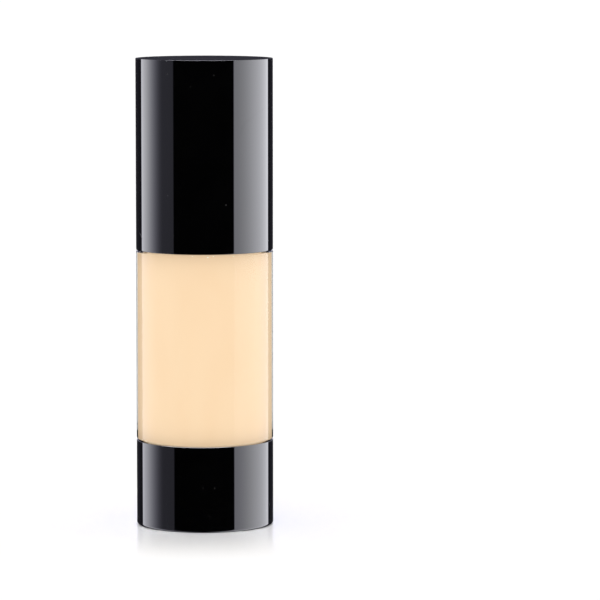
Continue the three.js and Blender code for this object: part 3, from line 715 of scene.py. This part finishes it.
class BOTTLE_OT_clear_body(bpy.types.Operator):
    """Clear bottle with its spigot, snap ring, three lugs and threaded neck"""

    bl_idname = "bottle.clear_body"
    bl_label = "Clear Body"

    def execute(self, context):
        sizes, colours = context.scene.bottle_sizes, context.scene.bottle_colours
        radius, foot, rim = span("bottle")
        base_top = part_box("base_cup")[1][2]
        shoulder, neck = shoulder_height(), neck_radius()
        ring, ring_top = radius - sizes.snap_ring_inset, shoulder + sizes.snap_ring_height
        bore, bore_top = radius - sizes.bottle_wall, ring_top - sizes.shoulder_wall
        spigot, neck_bore = radius - sizes.base_wall - SEAM, neck - sizes.neck_wall
        lug_low, lug_high, lug_flank = shoulder + 1.45 * MM, shoulder + 3.05 * MM, 0.35 * MM
        lug_middles, lug_half, lug_ease = (-165, -45, 75), 25, 4  # degrees round the ring
        thread_out = 0.75 * MM

        def relief(angle, across, height):
            """Three lugs round the snap ring's side, and the screw ridge round the neck."""
            turns = [(np.degrees(angle) - middle + 180) % 360 - 180 for middle in lug_middles]
            lugs = sum(window(turn, -lug_half, lug_half, lug_ease) for turn in turns)
            lugs = lugs * window(height, lug_low, lug_high, lug_flank) * sizes.lug_out
            screw = ridge(angle, height, sizes.thread_pitch, rim - THREAD_DROP) * thread_out
            return (np.abs(across - ring) < TINY) * lugs + (np.abs(across - neck) < TINY) * screw

        body = revolve("bottle_fine", [
            (bore, foot),
            (spigot, foot, 0.2 * MM),
            *clip_outline(spigot),
            (spigot, base_top + SEAM),
            (radius, base_top + SEAM, 0.35 * MM),
            (radius, shoulder, 0.2 * MM),
            (ring, shoulder, 0.25 * MM),
            (ring, ring_top, 1.0 * MM),
            (neck, ring_top, 0.4 * MM),
            (neck, rim, 0.3 * MM),
            (neck_bore, rim, 0.3 * MM),
            (neck_bore, bore_top, 0.6 * MM),
            (bore, bore_top, 1.2 * MM),
        ], WIDE, relief=relief, radii=(ring, neck))
        clear = clear_plastic(colours.clear_tint)
        finish_piece(body, "container", "clear_plastic", clear, "bottle")
        return {"FINISHED"}


class BOTTLE_OT_cream(bpy.types.Operator):
    """The cream in three pieces: in the neck, round the bore, and under the pump's inlet"""

    bl_idname = "bottle.cream"
    bl_label = "Cream"

    def execute(self, context):
        sizes, colours = context.scene.bottle_sizes, context.scene.bottle_colours
        wet = 0.1 * MM  # the cream's skin lies this far inside the clear wall, with no air between
        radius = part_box("bottle")[1][1] - sizes.bottle_wall + wet
        top = shoulder_height() + sizes.snap_ring_height - sizes.shoulder_wall + wet / 2
        over_follower, under_inlet = 0.1 * MM, 0.2 * MM
        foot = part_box("follower_piston")[1][2] + over_follower
        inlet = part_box("pump_housing")[0][2] - under_inlet
        well, neck_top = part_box("foundation_fill")[0][2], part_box("foundation_fill")[1][2]
        neck, neck_foot = neck_radius() - sizes.neck_wall + wet / 2, top - 0.3 * MM
        barrel, core, core_gap = 5.0 * MM, 5.8 * MM, 0.05 * MM
        material = cream(colours.cream)

        collar = revolve("cream_in_neck", [
            (barrel, neck_foot),
            (neck, neck_foot),
            (neck, neck_top),
            (barrel, neck_top),
        ], MEDIUM)
        finish_piece(collar, "container", "foundation", material, "foundation_fill")

        ring = revolve("cream_round_bore", [
            (core, foot),
            (radius, foot),
            (radius, top, 1.25 * MM),
            (core, top),
        ], WIDE)
        finish_piece(ring, "container", "foundation", material, "foundation_fill")
        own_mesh(ring)

        middle = revolve("cream_under_inlet", [
            (0, well),
            (core - core_gap, well),
            (core - core_gap, inlet),
            (0, inlet),
        ], NARROW, closed=False)
        finish_piece(middle, "container", "foundation", material, "foundation_fill")
        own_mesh(middle)
        return {"FINISHED"}


class BOTTLE_OT_follower(bpy.types.Operator):
    """Follower that wipes the bore and rises as the cream is used"""

    bl_idname = "bottle.follower"
    bl_label = "Follower"

    def execute(self, context):
        colours = context.scene.bottle_colours
        lip, low, high = span("follower_piston")
        foot, web = low + 2.0 * MM, high - 0.4 * MM
        skirt, well, thick, edge = lip - 0.5 * MM, 6.0 * MM, 1.2 * MM, 0.15 * MM
        inside = skirt - 0.9 * MM
        lip_height, lip_end = 0.5 * MM, 1.0 * MM  # a lip is full as far as one, and gone at the other
        item = revolve("follower_fine", [
            (0, low),
            (well + thick, low, 0.5 * MM),
            (well + thick, web - thick, 0.4 * MM),
            (inside, web - thick, 0.4 * MM),
            (inside, foot),
            (lip, foot, edge),
            (lip, foot + lip_height, edge),
            (skirt, foot + lip_end, 0.3 * MM),
            (skirt, high - lip_end, 0.3 * MM),
            (lip, high - lip_height, edge),
            (lip, high, edge),
            (skirt, web, 0.2 * MM),
            (well, web, 0.5 * MM),
            (well, low + thick, 0.6 * MM),
            (0, low + thick),
        ], MEDIUM, closed=False)
        natural = natural_plastic(colours.natural)
        finish_piece(item, "follower", "natural_plastic", natural, "follower_piston")
        return {"FINISHED"}


class BOTTLE_OT_overcap(bpy.types.Operator):
    """Pull-off overcap: polished shell, and the thimble inside it"""

    bl_idname = "bottle.overcap"
    bl_label = "Overcap"

    def execute(self, context):
        sizes, colours = context.scene.bottle_sizes, context.scene.bottle_colours
        radius, foot, top = span("overcap_shell")
        bore, ceiling = radius - sizes.cap_wall, top - sizes.cap_top
        bead, bead_half, bead_deep = foot + 0.6 * MM, 0.3 * MM, 0.18 * MM
        shell = revolve("overcap_shell_fine", [
            (0, ceiling),
            (bore, ceiling, 0.6 * MM),
            (bore, bead + bead_half),
            (bore - bead_deep, bead, 0.15 * MM),
            (bore, bead - bead_half),
            (bore, foot, 0.12 * MM),
            (radius, foot, 0.22 * MM),
            (radius, top, sizes.cap_edge),
            (0, top),
        ], WIDE, closed=False)
        finish_piece(shell, "overcap", "black_gloss", cap_finish(colours.cap_black), "overcap_shell")

        radius, foot, top = span("overcap_liner")
        bore, ceiling = radius - 1.0 * MM, top - 0.9 * MM
        liner = revolve("overcap_liner_fine", [
            (0, ceiling),
            (bore, ceiling, 0.8 * MM),
            (bore, foot, 0.3 * MM),
            (radius, foot, 0.15 * MM),
            (radius, top, 0.8 * MM),
            (0, top),
        ], MEDIUM, closed=False)
        natural = natural_plastic(colours.natural)
        finish_piece(liner, "overcap", "natural_plastic", natural, "overcap_liner")
        return {"FINISHED"}


# ---------------------------------------------------------------- pump


class BOTTLE_OT_closure(bpy.types.Operator):
    """Threaded closure, and the gasket that it clamps under the pump's flange"""

    bl_idname = "bottle.closure"
    bl_label = "Closure and Gasket"

    def execute(self, context):
        sizes, colours = context.scene.bottle_sizes, context.scene.bottle_colours
        natural = natural_plastic(colours.natural)
        radius, foot, top = span("screw_closure")
        bore, hole, deck = radius - 0.9 * MM, 7.0 * MM, top - 1.3 * MM
        thread_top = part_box("bottle")[1][2] - THREAD_DROP - sizes.thread_pitch / 2
        thread_in = 0.7 * MM

        def relief(angle, across, height):
            """The screw ridge on the bore, which stands inwards."""
            screw = ridge(angle, height, sizes.thread_pitch, thread_top)
            return (np.abs(across - bore) < TINY) * screw * -thread_in

        cup = revolve("screw_closure_fine", [
            (bore, foot, 0.3 * MM),
            (radius, foot, 0.2 * MM),
            (radius, top, 0.3 * MM),
            (hole, top, 0.2 * MM),
            (hole, deck, 0.2 * MM),
            (bore, deck, 0.3 * MM),
        ], MEDIUM, relief=relief, radii=(bore,))
        finish_piece(cup, "closure", "natural_plastic", natural, "screw_closure")

        radius, foot, top = span("neck_gasket")
        bore = radius - 1.4 * MM
        seal = revolve("neck_gasket_fine", [
            (bore, foot, 0.1 * MM),
            (radius, foot, 0.1 * MM),
            (radius, top, 0.1 * MM),
            (bore, top, 0.1 * MM),
        ], MEDIUM)
        rubber = soft_rubber(colours.rubber)
        finish_piece(seal, "pump", "gasket_rubber", rubber, "neck_gasket")
        return {"FINISHED"}


class BOTTLE_OT_collar(bpy.types.Operator):
    """Collar sleeve, and the stepped and coned shoulder ring that stands in it"""

    bl_idname = "bottle.collar"
    bl_label = "Collar and Shoulder Ring"

    def execute(self, context):
        colours = context.scene.bottle_colours
        radius, foot, top = span("collar_sleeve")
        bore, lip, lip_foot = radius - 0.65 * MM, radius - 1.0 * MM, top - 0.8 * MM
        sleeve = revolve("collar_sleeve_fine", [
            (bore, foot, 0.1 * MM),
            (radius, foot, 0.2 * MM),
            (radius, top, 0.32 * MM),
            (lip, top, 0.12 * MM),
            (lip, lip_foot),
            (bore, lip_foot),
        ], WIDE)
        finish_piece(sleeve, "closure", "black_gloss", collar_finish(colours.collar_black), "collar_sleeve")

        radius, foot, top = span("shoulder_ring")
        step, wall, run, brim = top - 4.2 * MM, 1.15 * MM, 0.3 * MM, 2.55 * MM
        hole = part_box("actuator")[1][1] + run
        cone = hole + brim
        ring = revolve("shoulder_ring_fine", [
            (radius - wall, foot),
            (radius, foot),
            (radius, step, 0.3 * MM),
            (cone, top, 0.3 * MM),
            (hole, top, 0.2 * MM),
            (hole, top - wall),
            (cone - wall / 2, top - wall, 0.3 * MM),
            (radius - wall, step, 0.3 * MM),
        ], WIDE)
        finish_piece(ring, "closure", "black_gloss", head_finish(colours.pump_black), "shoulder_ring")
        return {"FINISHED"}


class BOTTLE_OT_pump_core(bpy.types.Operator):
    """Pump housing, guide bush, stem, rod, piston and check ball"""

    bl_idname = "bottle.pump_core"
    bl_label = "Pump Core"

    def execute(self, context):
        colours = context.scene.bottle_colours
        natural = natural_plastic(colours.natural)
        chamber, barrel, stem, run = 3.6 * MM, 4.8 * MM, 2.15 * MM, 0.1 * MM

        flange, low, high = span("pump_housing")
        under, skirt, skirt_wall = high - 1.25 * MM, flange - 2.3 * MM, 0.9 * MM
        skirt_foot, web = under - 5.0 * MM, under - 1.2 * MM
        inlet, tail, pocket, taper = 1.0 * MM, 2.6 * MM, 2.0 * MM, 1.2 * MM
        seat, ledge = low + 4.3 * MM, low + 8.15 * MM
        housing = revolve("pump_housing_fine", [
            (inlet, low, 0.2 * MM),
            (tail, low, 0.3 * MM),
            (tail, seat - taper, 0.4 * MM),
            (barrel, seat, 0.4 * MM),
            (barrel, web, 0.4 * MM),
            (skirt - skirt_wall, web, 0.4 * MM),
            (skirt - skirt_wall, skirt_foot, 0.2 * MM),
            (skirt, skirt_foot, 0.3 * MM),
            (skirt, under, 0.2 * MM),
            (flange, under, 0.2 * MM),
            (flange, high, 0.2 * MM),
            (chamber, high, 0.2 * MM),
            (chamber, ledge, 0.3 * MM),
            (pocket, ledge, 0.2 * MM),
            (pocket, seat + (pocket - inlet)),
            (inlet, seat),
        ], MEDIUM)
        finish_piece(housing, "pump", "natural_plastic", natural, "pump_housing")

        rim, low, high = span("guide_bush")
        foot, shelf, guide = chamber - 0.15 * MM, high - 0.85 * MM, stem + run
        lip, lip_wall, flange_foot = 6.2 * MM, 0.7 * MM, low + 4.0 * MM
        bush = revolve("guide_bush_fine", [
            (guide, low, 0.2 * MM),
            (foot, low, 0.3 * MM),
            (foot, flange_foot),
            (rim, flange_foot, 0.15 * MM),
            (rim, shelf, 0.15 * MM),
            (lip, shelf),
            (lip, high, 0.2 * MM),
            (lip - lip_wall, high, 0.2 * MM),
            (lip - lip_wall, shelf, 0.2 * MM),
            (guide, shelf, 0.3 * MM),
        ], MEDIUM)
        finish_piece(bush, "pump", "natural_plastic", natural, "guide_bush")

        collar, low, high = span("stem")
        collar_top, bore = low + 1.8 * MM, stem - 0.95 * MM
        tube = revolve("stem_fine", [
            (bore, low, 0.15 * MM),
            (collar, low, 0.2 * MM),
            (collar, collar_top, 0.2 * MM),
            (stem, collar_top, 0.3 * MM),
            (stem, high, 0.3 * MM),
            (bore, high, 0.15 * MM),
        ], NARROW)
        finish_piece(tube, "pump_stem", "natural_plastic", natural, "stem")

        head, low, high = span("piston_rod")
        shank, head_side, head_top = 1.0 * MM, low + 1.0 * MM, low + 1.4 * MM
        rod = revolve("piston_rod_fine", [
            (0, low),
            (head, low, 0.3 * MM),
            (head, head_side, 0.2 * MM),
            (shank, head_top, 0.2 * MM),
            (shank, high, 0.3 * MM),
            (0, high),
        ], NARROW, closed=False)
        finish_piece(rod, "pump_stem", "natural_plastic", natural, "piston_rod")

        lip, low, high = span("pump_piston")
        bore, waist, lip_height, lip_end = 1.35 * MM, lip - 0.4 * MM, 0.8 * MM, 1.2 * MM
        piston = revolve("pump_piston_fine", [
            (bore, low, 0.15 * MM),
            (lip, low, 0.1 * MM),
            (lip, low + lip_height, 0.15 * MM),
            (waist, low + lip_end, 0.3 * MM),
            (waist, high - lip_end, 0.3 * MM),
            (lip, high - lip_height, 0.15 * MM),
            (lip, high, 0.1 * MM),
            (bore, high, 0.15 * MM),
        ], NARROW)
        finish_piece(piston, "piston", "natural_plastic", natural, "pump_piston")

        radius, low, high = span("inlet_ball")
        rise = np.radians(np.linspace(-90, 90, 33))
        outline = np.stack([radius * np.cos(rise), (low + high) / 2 + radius * np.sin(rise)], axis=-1)
        ball = revolve("inlet_ball_fine", outline, NARROW, closed=False)
        finish_piece(ball, "ball", "steel", drawn_steel(colours.steel), "inlet_ball")
        return {"FINISHED"}


class BOTTLE_OT_spring(bpy.types.Operator):
    """Return spring round the stem, which shortens as the head is pressed"""

    bl_idname = "bottle.spring"
    bl_label = "Return Spring"

    def execute(self, context):
        radius, low, high = span("return_spring")
        wire = 0.35 * MM
        spring = self.coil("return_spring_fine", radius - wire, wire, low + wire, high - wire, turns=7)
        steel = drawn_steel(context.scene.bottle_colours.steel)
        finish_piece(spring, "pump", "steel", steel, "return_spring")
        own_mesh(spring)
        return {"FINISHED"}

    @staticmethod
    def coil(name, mean, wire, foot, top, turns, sides=16, steps_a_turn=40, slow=0.2):
        """A round wire carried along a helix.

        The helix climbs at a rate that is slow at each end, as a share of full, and grows
        evenly to full over one turn, so the end coils close up; its height is the running
        sum of that rate. Each ring of the wire lies in the plane through the axis, and a
        point in each end closes it.
        """
        steps = turns * steps_a_turn
        along = np.linspace(0, 1, steps + 1)
        from_end = np.minimum(along, 1 - along) * turns
        climbed = np.cumsum(slow + (1 - slow) * np.clip(from_end, 0, 1))
        climbed = (climbed - climbed[0]) / (climbed[-1] - climbed[0])
        angle = along[:, None] * turns * 2 * math.pi
        around = np.linspace(0, 2 * math.pi, sides, endpoint=False)[None]
        radius = mean + wire * np.cos(around)
        height = foot + (top - foot) * climbed[:, None] + wire * np.sin(around)
        ring = np.stack([radius * np.cos(angle), radius * np.sin(angle), height], axis=-1)
        quads = grid_faces(steps + 1, sides, False)[:, ::-1]
        points = np.concatenate([ring.reshape(-1, 3), ring[[0, -1]].mean(axis=1)])
        return to_object(name, points, quads, end_fans(steps + 1, sides)[:, ::-1])


class BOTTLE_OT_head(bpy.types.Operator):
    """Press head with its short spout, and the pale orifice tube in the tip"""

    bl_idname = "bottle.head"
    bl_label = "Press Head"

    def execute(self, context):
        sizes, colours = context.scene.bottle_sizes, context.scene.bottle_colours
        head = self.head_surface(sizes)
        finish_piece(head, "head", "black_gloss", head_finish(colours.pump_black), "actuator")

        low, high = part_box("nozzle_insert")
        radius, middle = high[1], (low[2] + high[2]) / 2
        bore = radius - 0.55 * MM  # turned about Z, then laid along X at the mouth's height
        tube = revolve("nozzle_insert_fine", [
            (bore, low[0]),
            (radius, low[0], 0.1 * MM),
            (radius, high[0], 0.2 * MM),
            (bore, high[0], 0.15 * MM),
        ], NARROW)
        points = np.empty(len(tube.data.vertices) * 3, np.float32)
        tube.data.vertices.foreach_get("co", points)
        points = points.reshape(-1, 3)[:, [2, 0, 1]]
        points[:, 2] += middle
        tube.data.vertices.foreach_set("co", points.ravel())
        tube.data.update()
        natural = natural_plastic(colours.natural)
        finish_piece(tube, "head", "natural_plastic", natural, "nozzle_insert")
        return {"FINISHED"}

    @staticmethod
    def plan_radius(angle, column, reach, leave=math.radians(65), sharp=60):
        """Distance from the axis to the head's outline, seen from above, at each angle.

        Beyond the angle leave the outline is the column's circle. Up to it, a straight
        cheek leaves the circle as a tangent, so its distance is the column's radius over
        the cosine of the turn from leave. A flat end cuts both cheeks off at the reach,
        through a soft minimum: the sum of their powers of minus sharp, to the power of
        minus one over sharp.
        """
        turn = np.abs((angle + math.pi) % (2 * math.pi) - math.pi)
        cheek = column / np.cos(np.minimum(turn, leave) - leave)
        end = reach / np.maximum(np.cos(angle), 0.2)
        beak = (cheek**-sharp + end**-sharp) ** (-1 / sharp)
        return np.where(turn < leave, np.maximum(beak, column), column)

    def head_surface(self, sizes):
        """The head as rings round the axis, each a function of the angle.

        The rings run down inside the stem's socket, up outside its boss, down inside the
        skirt, out under the skirt's foot, up the column, out below the spout, up its side,
        over a rounded edge whose radius shrinks towards the tip, and in across the sloping
        top. The spout's mouth is a dent in the side at the tip.
        """
        low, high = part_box("actuator")
        column, reach, foot, tip_top = high[1], high[0], low[2], high[2]
        spout_depth, cavity_depth, slope = 3.6 * MM, 5.6 * MM, math.tan(math.radians(4))
        skirt_wall, skirt_edge, boss, boss_length = 1.2 * MM, 0.2 * MM, 3.5 * MM, 11.0 * MM
        socket, socket_depth = 2.25 * MM, 1.2 * MM  # the socket's end is deeper than the cavity's
        root, lower = 0.5 * MM, 0.45 * MM  # roundings where the spout leaves the column, and under it
        angle = np.linspace(0, 2 * math.pi, WIDE, endpoint=False)
        outline = self.plan_radius(angle, column, reach)
        out = outline - column
        near_tip = np.clip(outline * np.cos(angle) / reach, 0, 1)
        near_tip = near_tip * near_tip * (3 - 2 * near_tip)
        edge = sizes.head_edge * (1 - near_tip) + sizes.tip_edge * near_tip
        under, cavity, bore = tip_top - spout_depth, tip_top - cavity_depth, column - skirt_wall
        socket_top, boss_foot = cavity + socket_depth, cavity - boss_length
        rings = []

        def ring(across, height):
            """Adds a ring; its distance from the axis and its height may vary with the angle."""
            rings.append(np.broadcast_arrays(across, height, angle)[:2])

        def top_at(across):
            """Height of the sloping top over a point at this distance from the axis."""
            return tip_top - (reach - across * np.cos(angle)) * slope

        for height in np.linspace(socket_top, boss_foot, 6):
            ring(socket, height)
        ring(boss, boss_foot)
        ring(boss, cavity)
        ring(bore, cavity)
        ring(bore, foot + skirt_edge)
        ring(bore + skirt_edge, foot)
        ring(column - skirt_edge, foot)
        for height in np.linspace(foot + skirt_edge, under - root, 12):
            ring(column, height)
        for turn in np.linspace(0, math.pi / 2, 6)[1:]:
            grow = np.minimum(out, root)
            ring(column + grow * (1 - math.cos(turn)), under - root + root * math.sin(turn))
        for turn in np.linspace(0, math.pi / 2, 6):
            inset = lower * (1 - math.sin(turn)) * np.clip(out / root, 0, 1)
            ring(np.maximum(outline - inset, column), under + lower * (1 - math.cos(turn)))
        side_foot, side_top = under + lower, top_at(outline) - edge
        for share in np.linspace(0, 1, 7)[1:]:
            ring(outline, side_foot + (side_top - side_foot) * share)
        for turn in np.linspace(0, math.pi / 2, 13)[1:]:
            across = outline - edge * (1 - math.cos(turn))
            ring(across, top_at(across) - edge * (1 - math.sin(turn)))
        hold = 0.985  # a ring just inside the rounded edge keeps the top flat in shading
        for share in (hold, *np.linspace(1, 0, 12)[1:-1]):
            across = (outline - edge) * share
            ring(across, top_at(across))

        radius, height = np.array(rings).transpose(1, 0, 2)
        x, y = radius * np.cos(angle), radius * np.sin(angle)
        nozzle_low, nozzle_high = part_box("nozzle_insert")
        mouth, mouth_ease, mouth_depth, tip_depth = 1.45 * MM, 0.25 * MM, 1.2 * MM, 0.6 * MM
        from_mouth = np.hypot(y, height - (nozzle_low[2] + nozzle_high[2]) / 2)
        sink = np.clip((mouth - from_mouth) / mouth_ease, 0, 1) * (x > reach - tip_depth)
        grid = np.stack([x - mouth_depth * sink, y, height], axis=-1).reshape(-1, 3)
        poles = [[0, 0, socket_top], [0, 0, tip_top - reach * slope]]
        points = np.concatenate([grid, poles])
        quads = grid_faces(len(rings), WIDE, False)
        return to_object("actuator_fine", points, quads, end_fans(len(rings), WIDE))


# ---------------------------------------------------------------- stage


class BOTTLE_OT_stage(bpy.types.Operator):
    """Camera, white floor, and a light tent with two strips and a long overhead light"""

    bl_idname = "bottle.stage"
    bl_label = "Stage"

    def execute(self, context):
        studio = context.scene.bottle_studio
        self.make_camera(context.scene, studio)
        self.make_floor(context.scene)
        self.make_tent(context.scene, studio)
        context.scene.view_settings.view_transform = "Standard"
        return {"FINISHED"}

    @staticmethod
    def make_camera(scene, studio):
        """A level long lens, tipped down so that the aim height lies mid-frame."""
        data = bpy.data.cameras.new("camera")
        data.lens = studio.lens
        data.clip_start, data.clip_end = 0.05, 20.0
        camera = bpy.data.objects.new("camera", data)
        camera.location = (studio.eye_side, -studio.eye_back, studio.eye_height)
        tip = math.atan2(studio.eye_height - studio.aim_height, studio.eye_back)
        camera.rotation_euler = (math.pi / 2 - tip, 0, 0)
        scene.collection.objects.link(camera)
        scene.camera = camera

    @staticmethod
    def make_floor(scene):
        """A large white disc that reflections look past.

        Its sheen fades out with distance from the bottle, and as it is seen from higher up.
        """
        facets, reach = 96, 6.0
        angle = np.linspace(0, 2 * math.pi, facets, endpoint=False)
        rim = np.stack([reach * np.cos(angle), reach * np.sin(angle), 0 * angle], axis=-1)
        here = np.arange(facets)
        fan = np.stack([np.full(facets, facets), here, (here + 1) % facets], axis=-1)
        floor = to_object("floor", np.concatenate([rim, [[0, 0, 0]]]), np.empty((0, 4), int), fan)
        material, tree, shader = new_material("White floor", Roughness=0.6, Specular_IOR_Level=0.0)
        where = add(tree, "ShaderNodeTexCoord").outputs["Object"]
        noise = add(tree, "ShaderNodeTexNoise", in_Vector=where, in_Scale=40.0)
        tone = blend_colours(tree, noise.outputs[0], (0.93, 0.93, 0.93), (0.95, 0.95, 0.95))
        tree.links.new(tone, shader.inputs["Base Color"])
        away = add(tree, "ShaderNodeVectorMath", operation="LENGTH", in_0=where).outputs["Value"]
        near = between(tree, away, 17 * MM, 62 * MM, 0.36, 0.0, smooth=True)
        facing = tree.nodes.new("ShaderNodeLayerWeight").outputs["Facing"]
        sheen = product(tree, near, between(tree, facing, 0.60, 0.82))
        gloss = tree.nodes.new("ShaderNodeBsdfGlossy")
        gloss.inputs["Color"].default_value = (1, 1, 1, 1)
        gloss.inputs["Roughness"].default_value = 0.17
        mix = add(tree, "ShaderNodeMixShader", in_0=sheen, in_1=shader.outputs[0], in_2=gloss.outputs[0])
        tree.links.new(mix.outputs[0], tree.nodes["Material Output"].inputs["Surface"])
        floor.data.materials.append(material)
        floor.visible_glossy = False

    @staticmethod
    def make_tent(scene, studio):
        """White all round for the eye and for even light, and a dark room of lamps for reflections.

        A reflection sees two upright strips, a white sweep just over the horizon and a long
        box overhead. A strip's heading is the angle from the front, positive to the right.
        The right strip is bright and has firm edges; the left one fades from its back to its
        front. Both are a little dimmer far below the horizon.
        """
        world = bpy.data.worlds.new("light tent")
        scene.world = world
        world.use_nodes = True
        tree = world.node_tree
        way = add(tree, "ShaderNodeTexCoord").outputs["Generated"]
        x, y, z = add(tree, "ShaderNodeSeparateXYZ", in_0=way).outputs
        heading = maths(tree, "ARCTAN2", x, product(tree, y, -1.0))

        def strip(angle, far, power, dim, dim_to, bright_from, near=52, firm=0.8):
            """Lit from near to far, and fading towards the front to a share of dim; in degrees."""
            near, far, firm, dim_to, bright_from = np.radians([near, far, firm, dim_to, bright_from])
            lit = band(tree, angle, (near - firm, near + firm), (far - firm, far + firm))
            return product(tree, lit, between(tree, angle, dim_to, bright_from, dim, 1.0, smooth=True), power)

        right = strip(heading, 136, studio.strip_right, 0.62, 50, 98)
        spent = between(tree, heading, *np.radians([100, 136]), 1.0, 0.84, smooth=True)
        left = strip(product(tree, heading, -1.0), 130, studio.strip_left, 0.13, 72, 116)
        sunk = between(tree, z, -0.145, -0.06, 0.82, 1.0)
        sides = product(tree, maths(tree, "ADD", product(tree, right, spent), left), sunk)

        along = band(tree, x, (-0.86, -0.70), (0.36, 0.50))
        deep = band(tree, y, (-0.70, -0.58), (0.24, 0.44))
        overhead = product(tree, along, deep, between(tree, z, 0.73, 0.80), studio.top_light)

        low, high = np.sin(np.radians([3.2, 25]))
        haze = product(tree, maths(tree, "GREATER_THAN", y, 0.4), 0.04)
        risen = maths(tree, "MAXIMUM", between(tree, z, low, low + 0.01), haze)
        sweep = product(tree, risen, between(tree, z, high, high + 0.02, 1.0, 0.0), studio.backdrop)

        seen = maths(tree, "ADD", maths(tree, "MAXIMUM", sides, sweep), overhead)
        cool = blend_colours(tree, between(tree, seen, 0.0, 4.5), (0.78, 0.77, 1.0), (0.93, 0.935, 1.0))
        tinted = add(tree, "ShaderNodeVectorMath", operation="SCALE", in_0=cool, in_Scale=seen).outputs[0]
        path = tree.nodes.new("ShaderNodeLightPath")
        even, white = (studio.tent,) * 3, (studio.white,) * 3
        lit = blend_colours(tree, path.outputs["Is Glossy Ray"], even, tinted)
        plain = maths(tree, "MAXIMUM", path.outputs["Is Camera Ray"], path.outputs["Is Transmission Ray"])
        colour = blend_colours(tree, plain, lit, white)
        tree.links.new(colour, tree.nodes["Background"].inputs["Color"])


class BOTTLE_PT_panel(bpy.types.Panel):
    """Lists the settings and the pieces"""

    bl_idname = "BOTTLE_PT_panel"
    bl_label = "Foundation Bottle"
    bl_space_type = "VIEW_3D"
    bl_region_type = "UI"
    bl_category = "Bottle"

    def draw(self, context):
        scene = context.scene
        for title, group in (("Sizes", scene.bottle_sizes), ("Colours", scene.bottle_colours),
                             ("Studio", scene.bottle_studio)):
            box = self.layout.box()
            box.label(text=title)
            for name in group.__annotations__:
                box.prop(group, name)
        for operator in PIECES:
            self.layout.operator(operator.bl_idname)


PIECES = (
    BOTTLE_OT_stage,
    BOTTLE_OT_base,
    BOTTLE_OT_clear_body,
    BOTTLE_OT_cream,
    BOTTLE_OT_follower,
    BOTTLE_OT_overcap,
    BOTTLE_OT_closure,
    BOTTLE_OT_collar,
    BOTTLE_OT_pump_core,
    BOTTLE_OT_spring,
    BOTTLE_OT_head,
)
CLASSES = (BottleSizes, BottleColours, StudioSettings, *PIECES, BOTTLE_PT_panel)


def register():
    """Registers the classes and hangs the settings on the scene."""
    for item in CLASSES:
        bpy.utils.register_class(item)
    bpy.types.Scene.bottle_sizes = bpy.props.PointerProperty(type=BottleSizes)
    bpy.types.Scene.bottle_colours = bpy.props.PointerProperty(type=BottleColours)
    bpy.types.Scene.bottle_studio = bpy.props.PointerProperty(type=StudioSettings)


def unregister():
    """Takes back all that register did."""
    del bpy.types.Scene.bottle_studio
    del bpy.types.Scene.bottle_colours
    del bpy.types.Scene.bottle_sizes
    for item in reversed(CLASSES):
        bpy.utils.unregister_class(item)


def main():
    """Registers the add-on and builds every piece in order."""
    register()
    for operator in PIECES:
        group, name = operator.bl_idname.split(".")
        getattr(getattr(bpy.ops, group), name)()


if __name__ == "__main__":
    main()
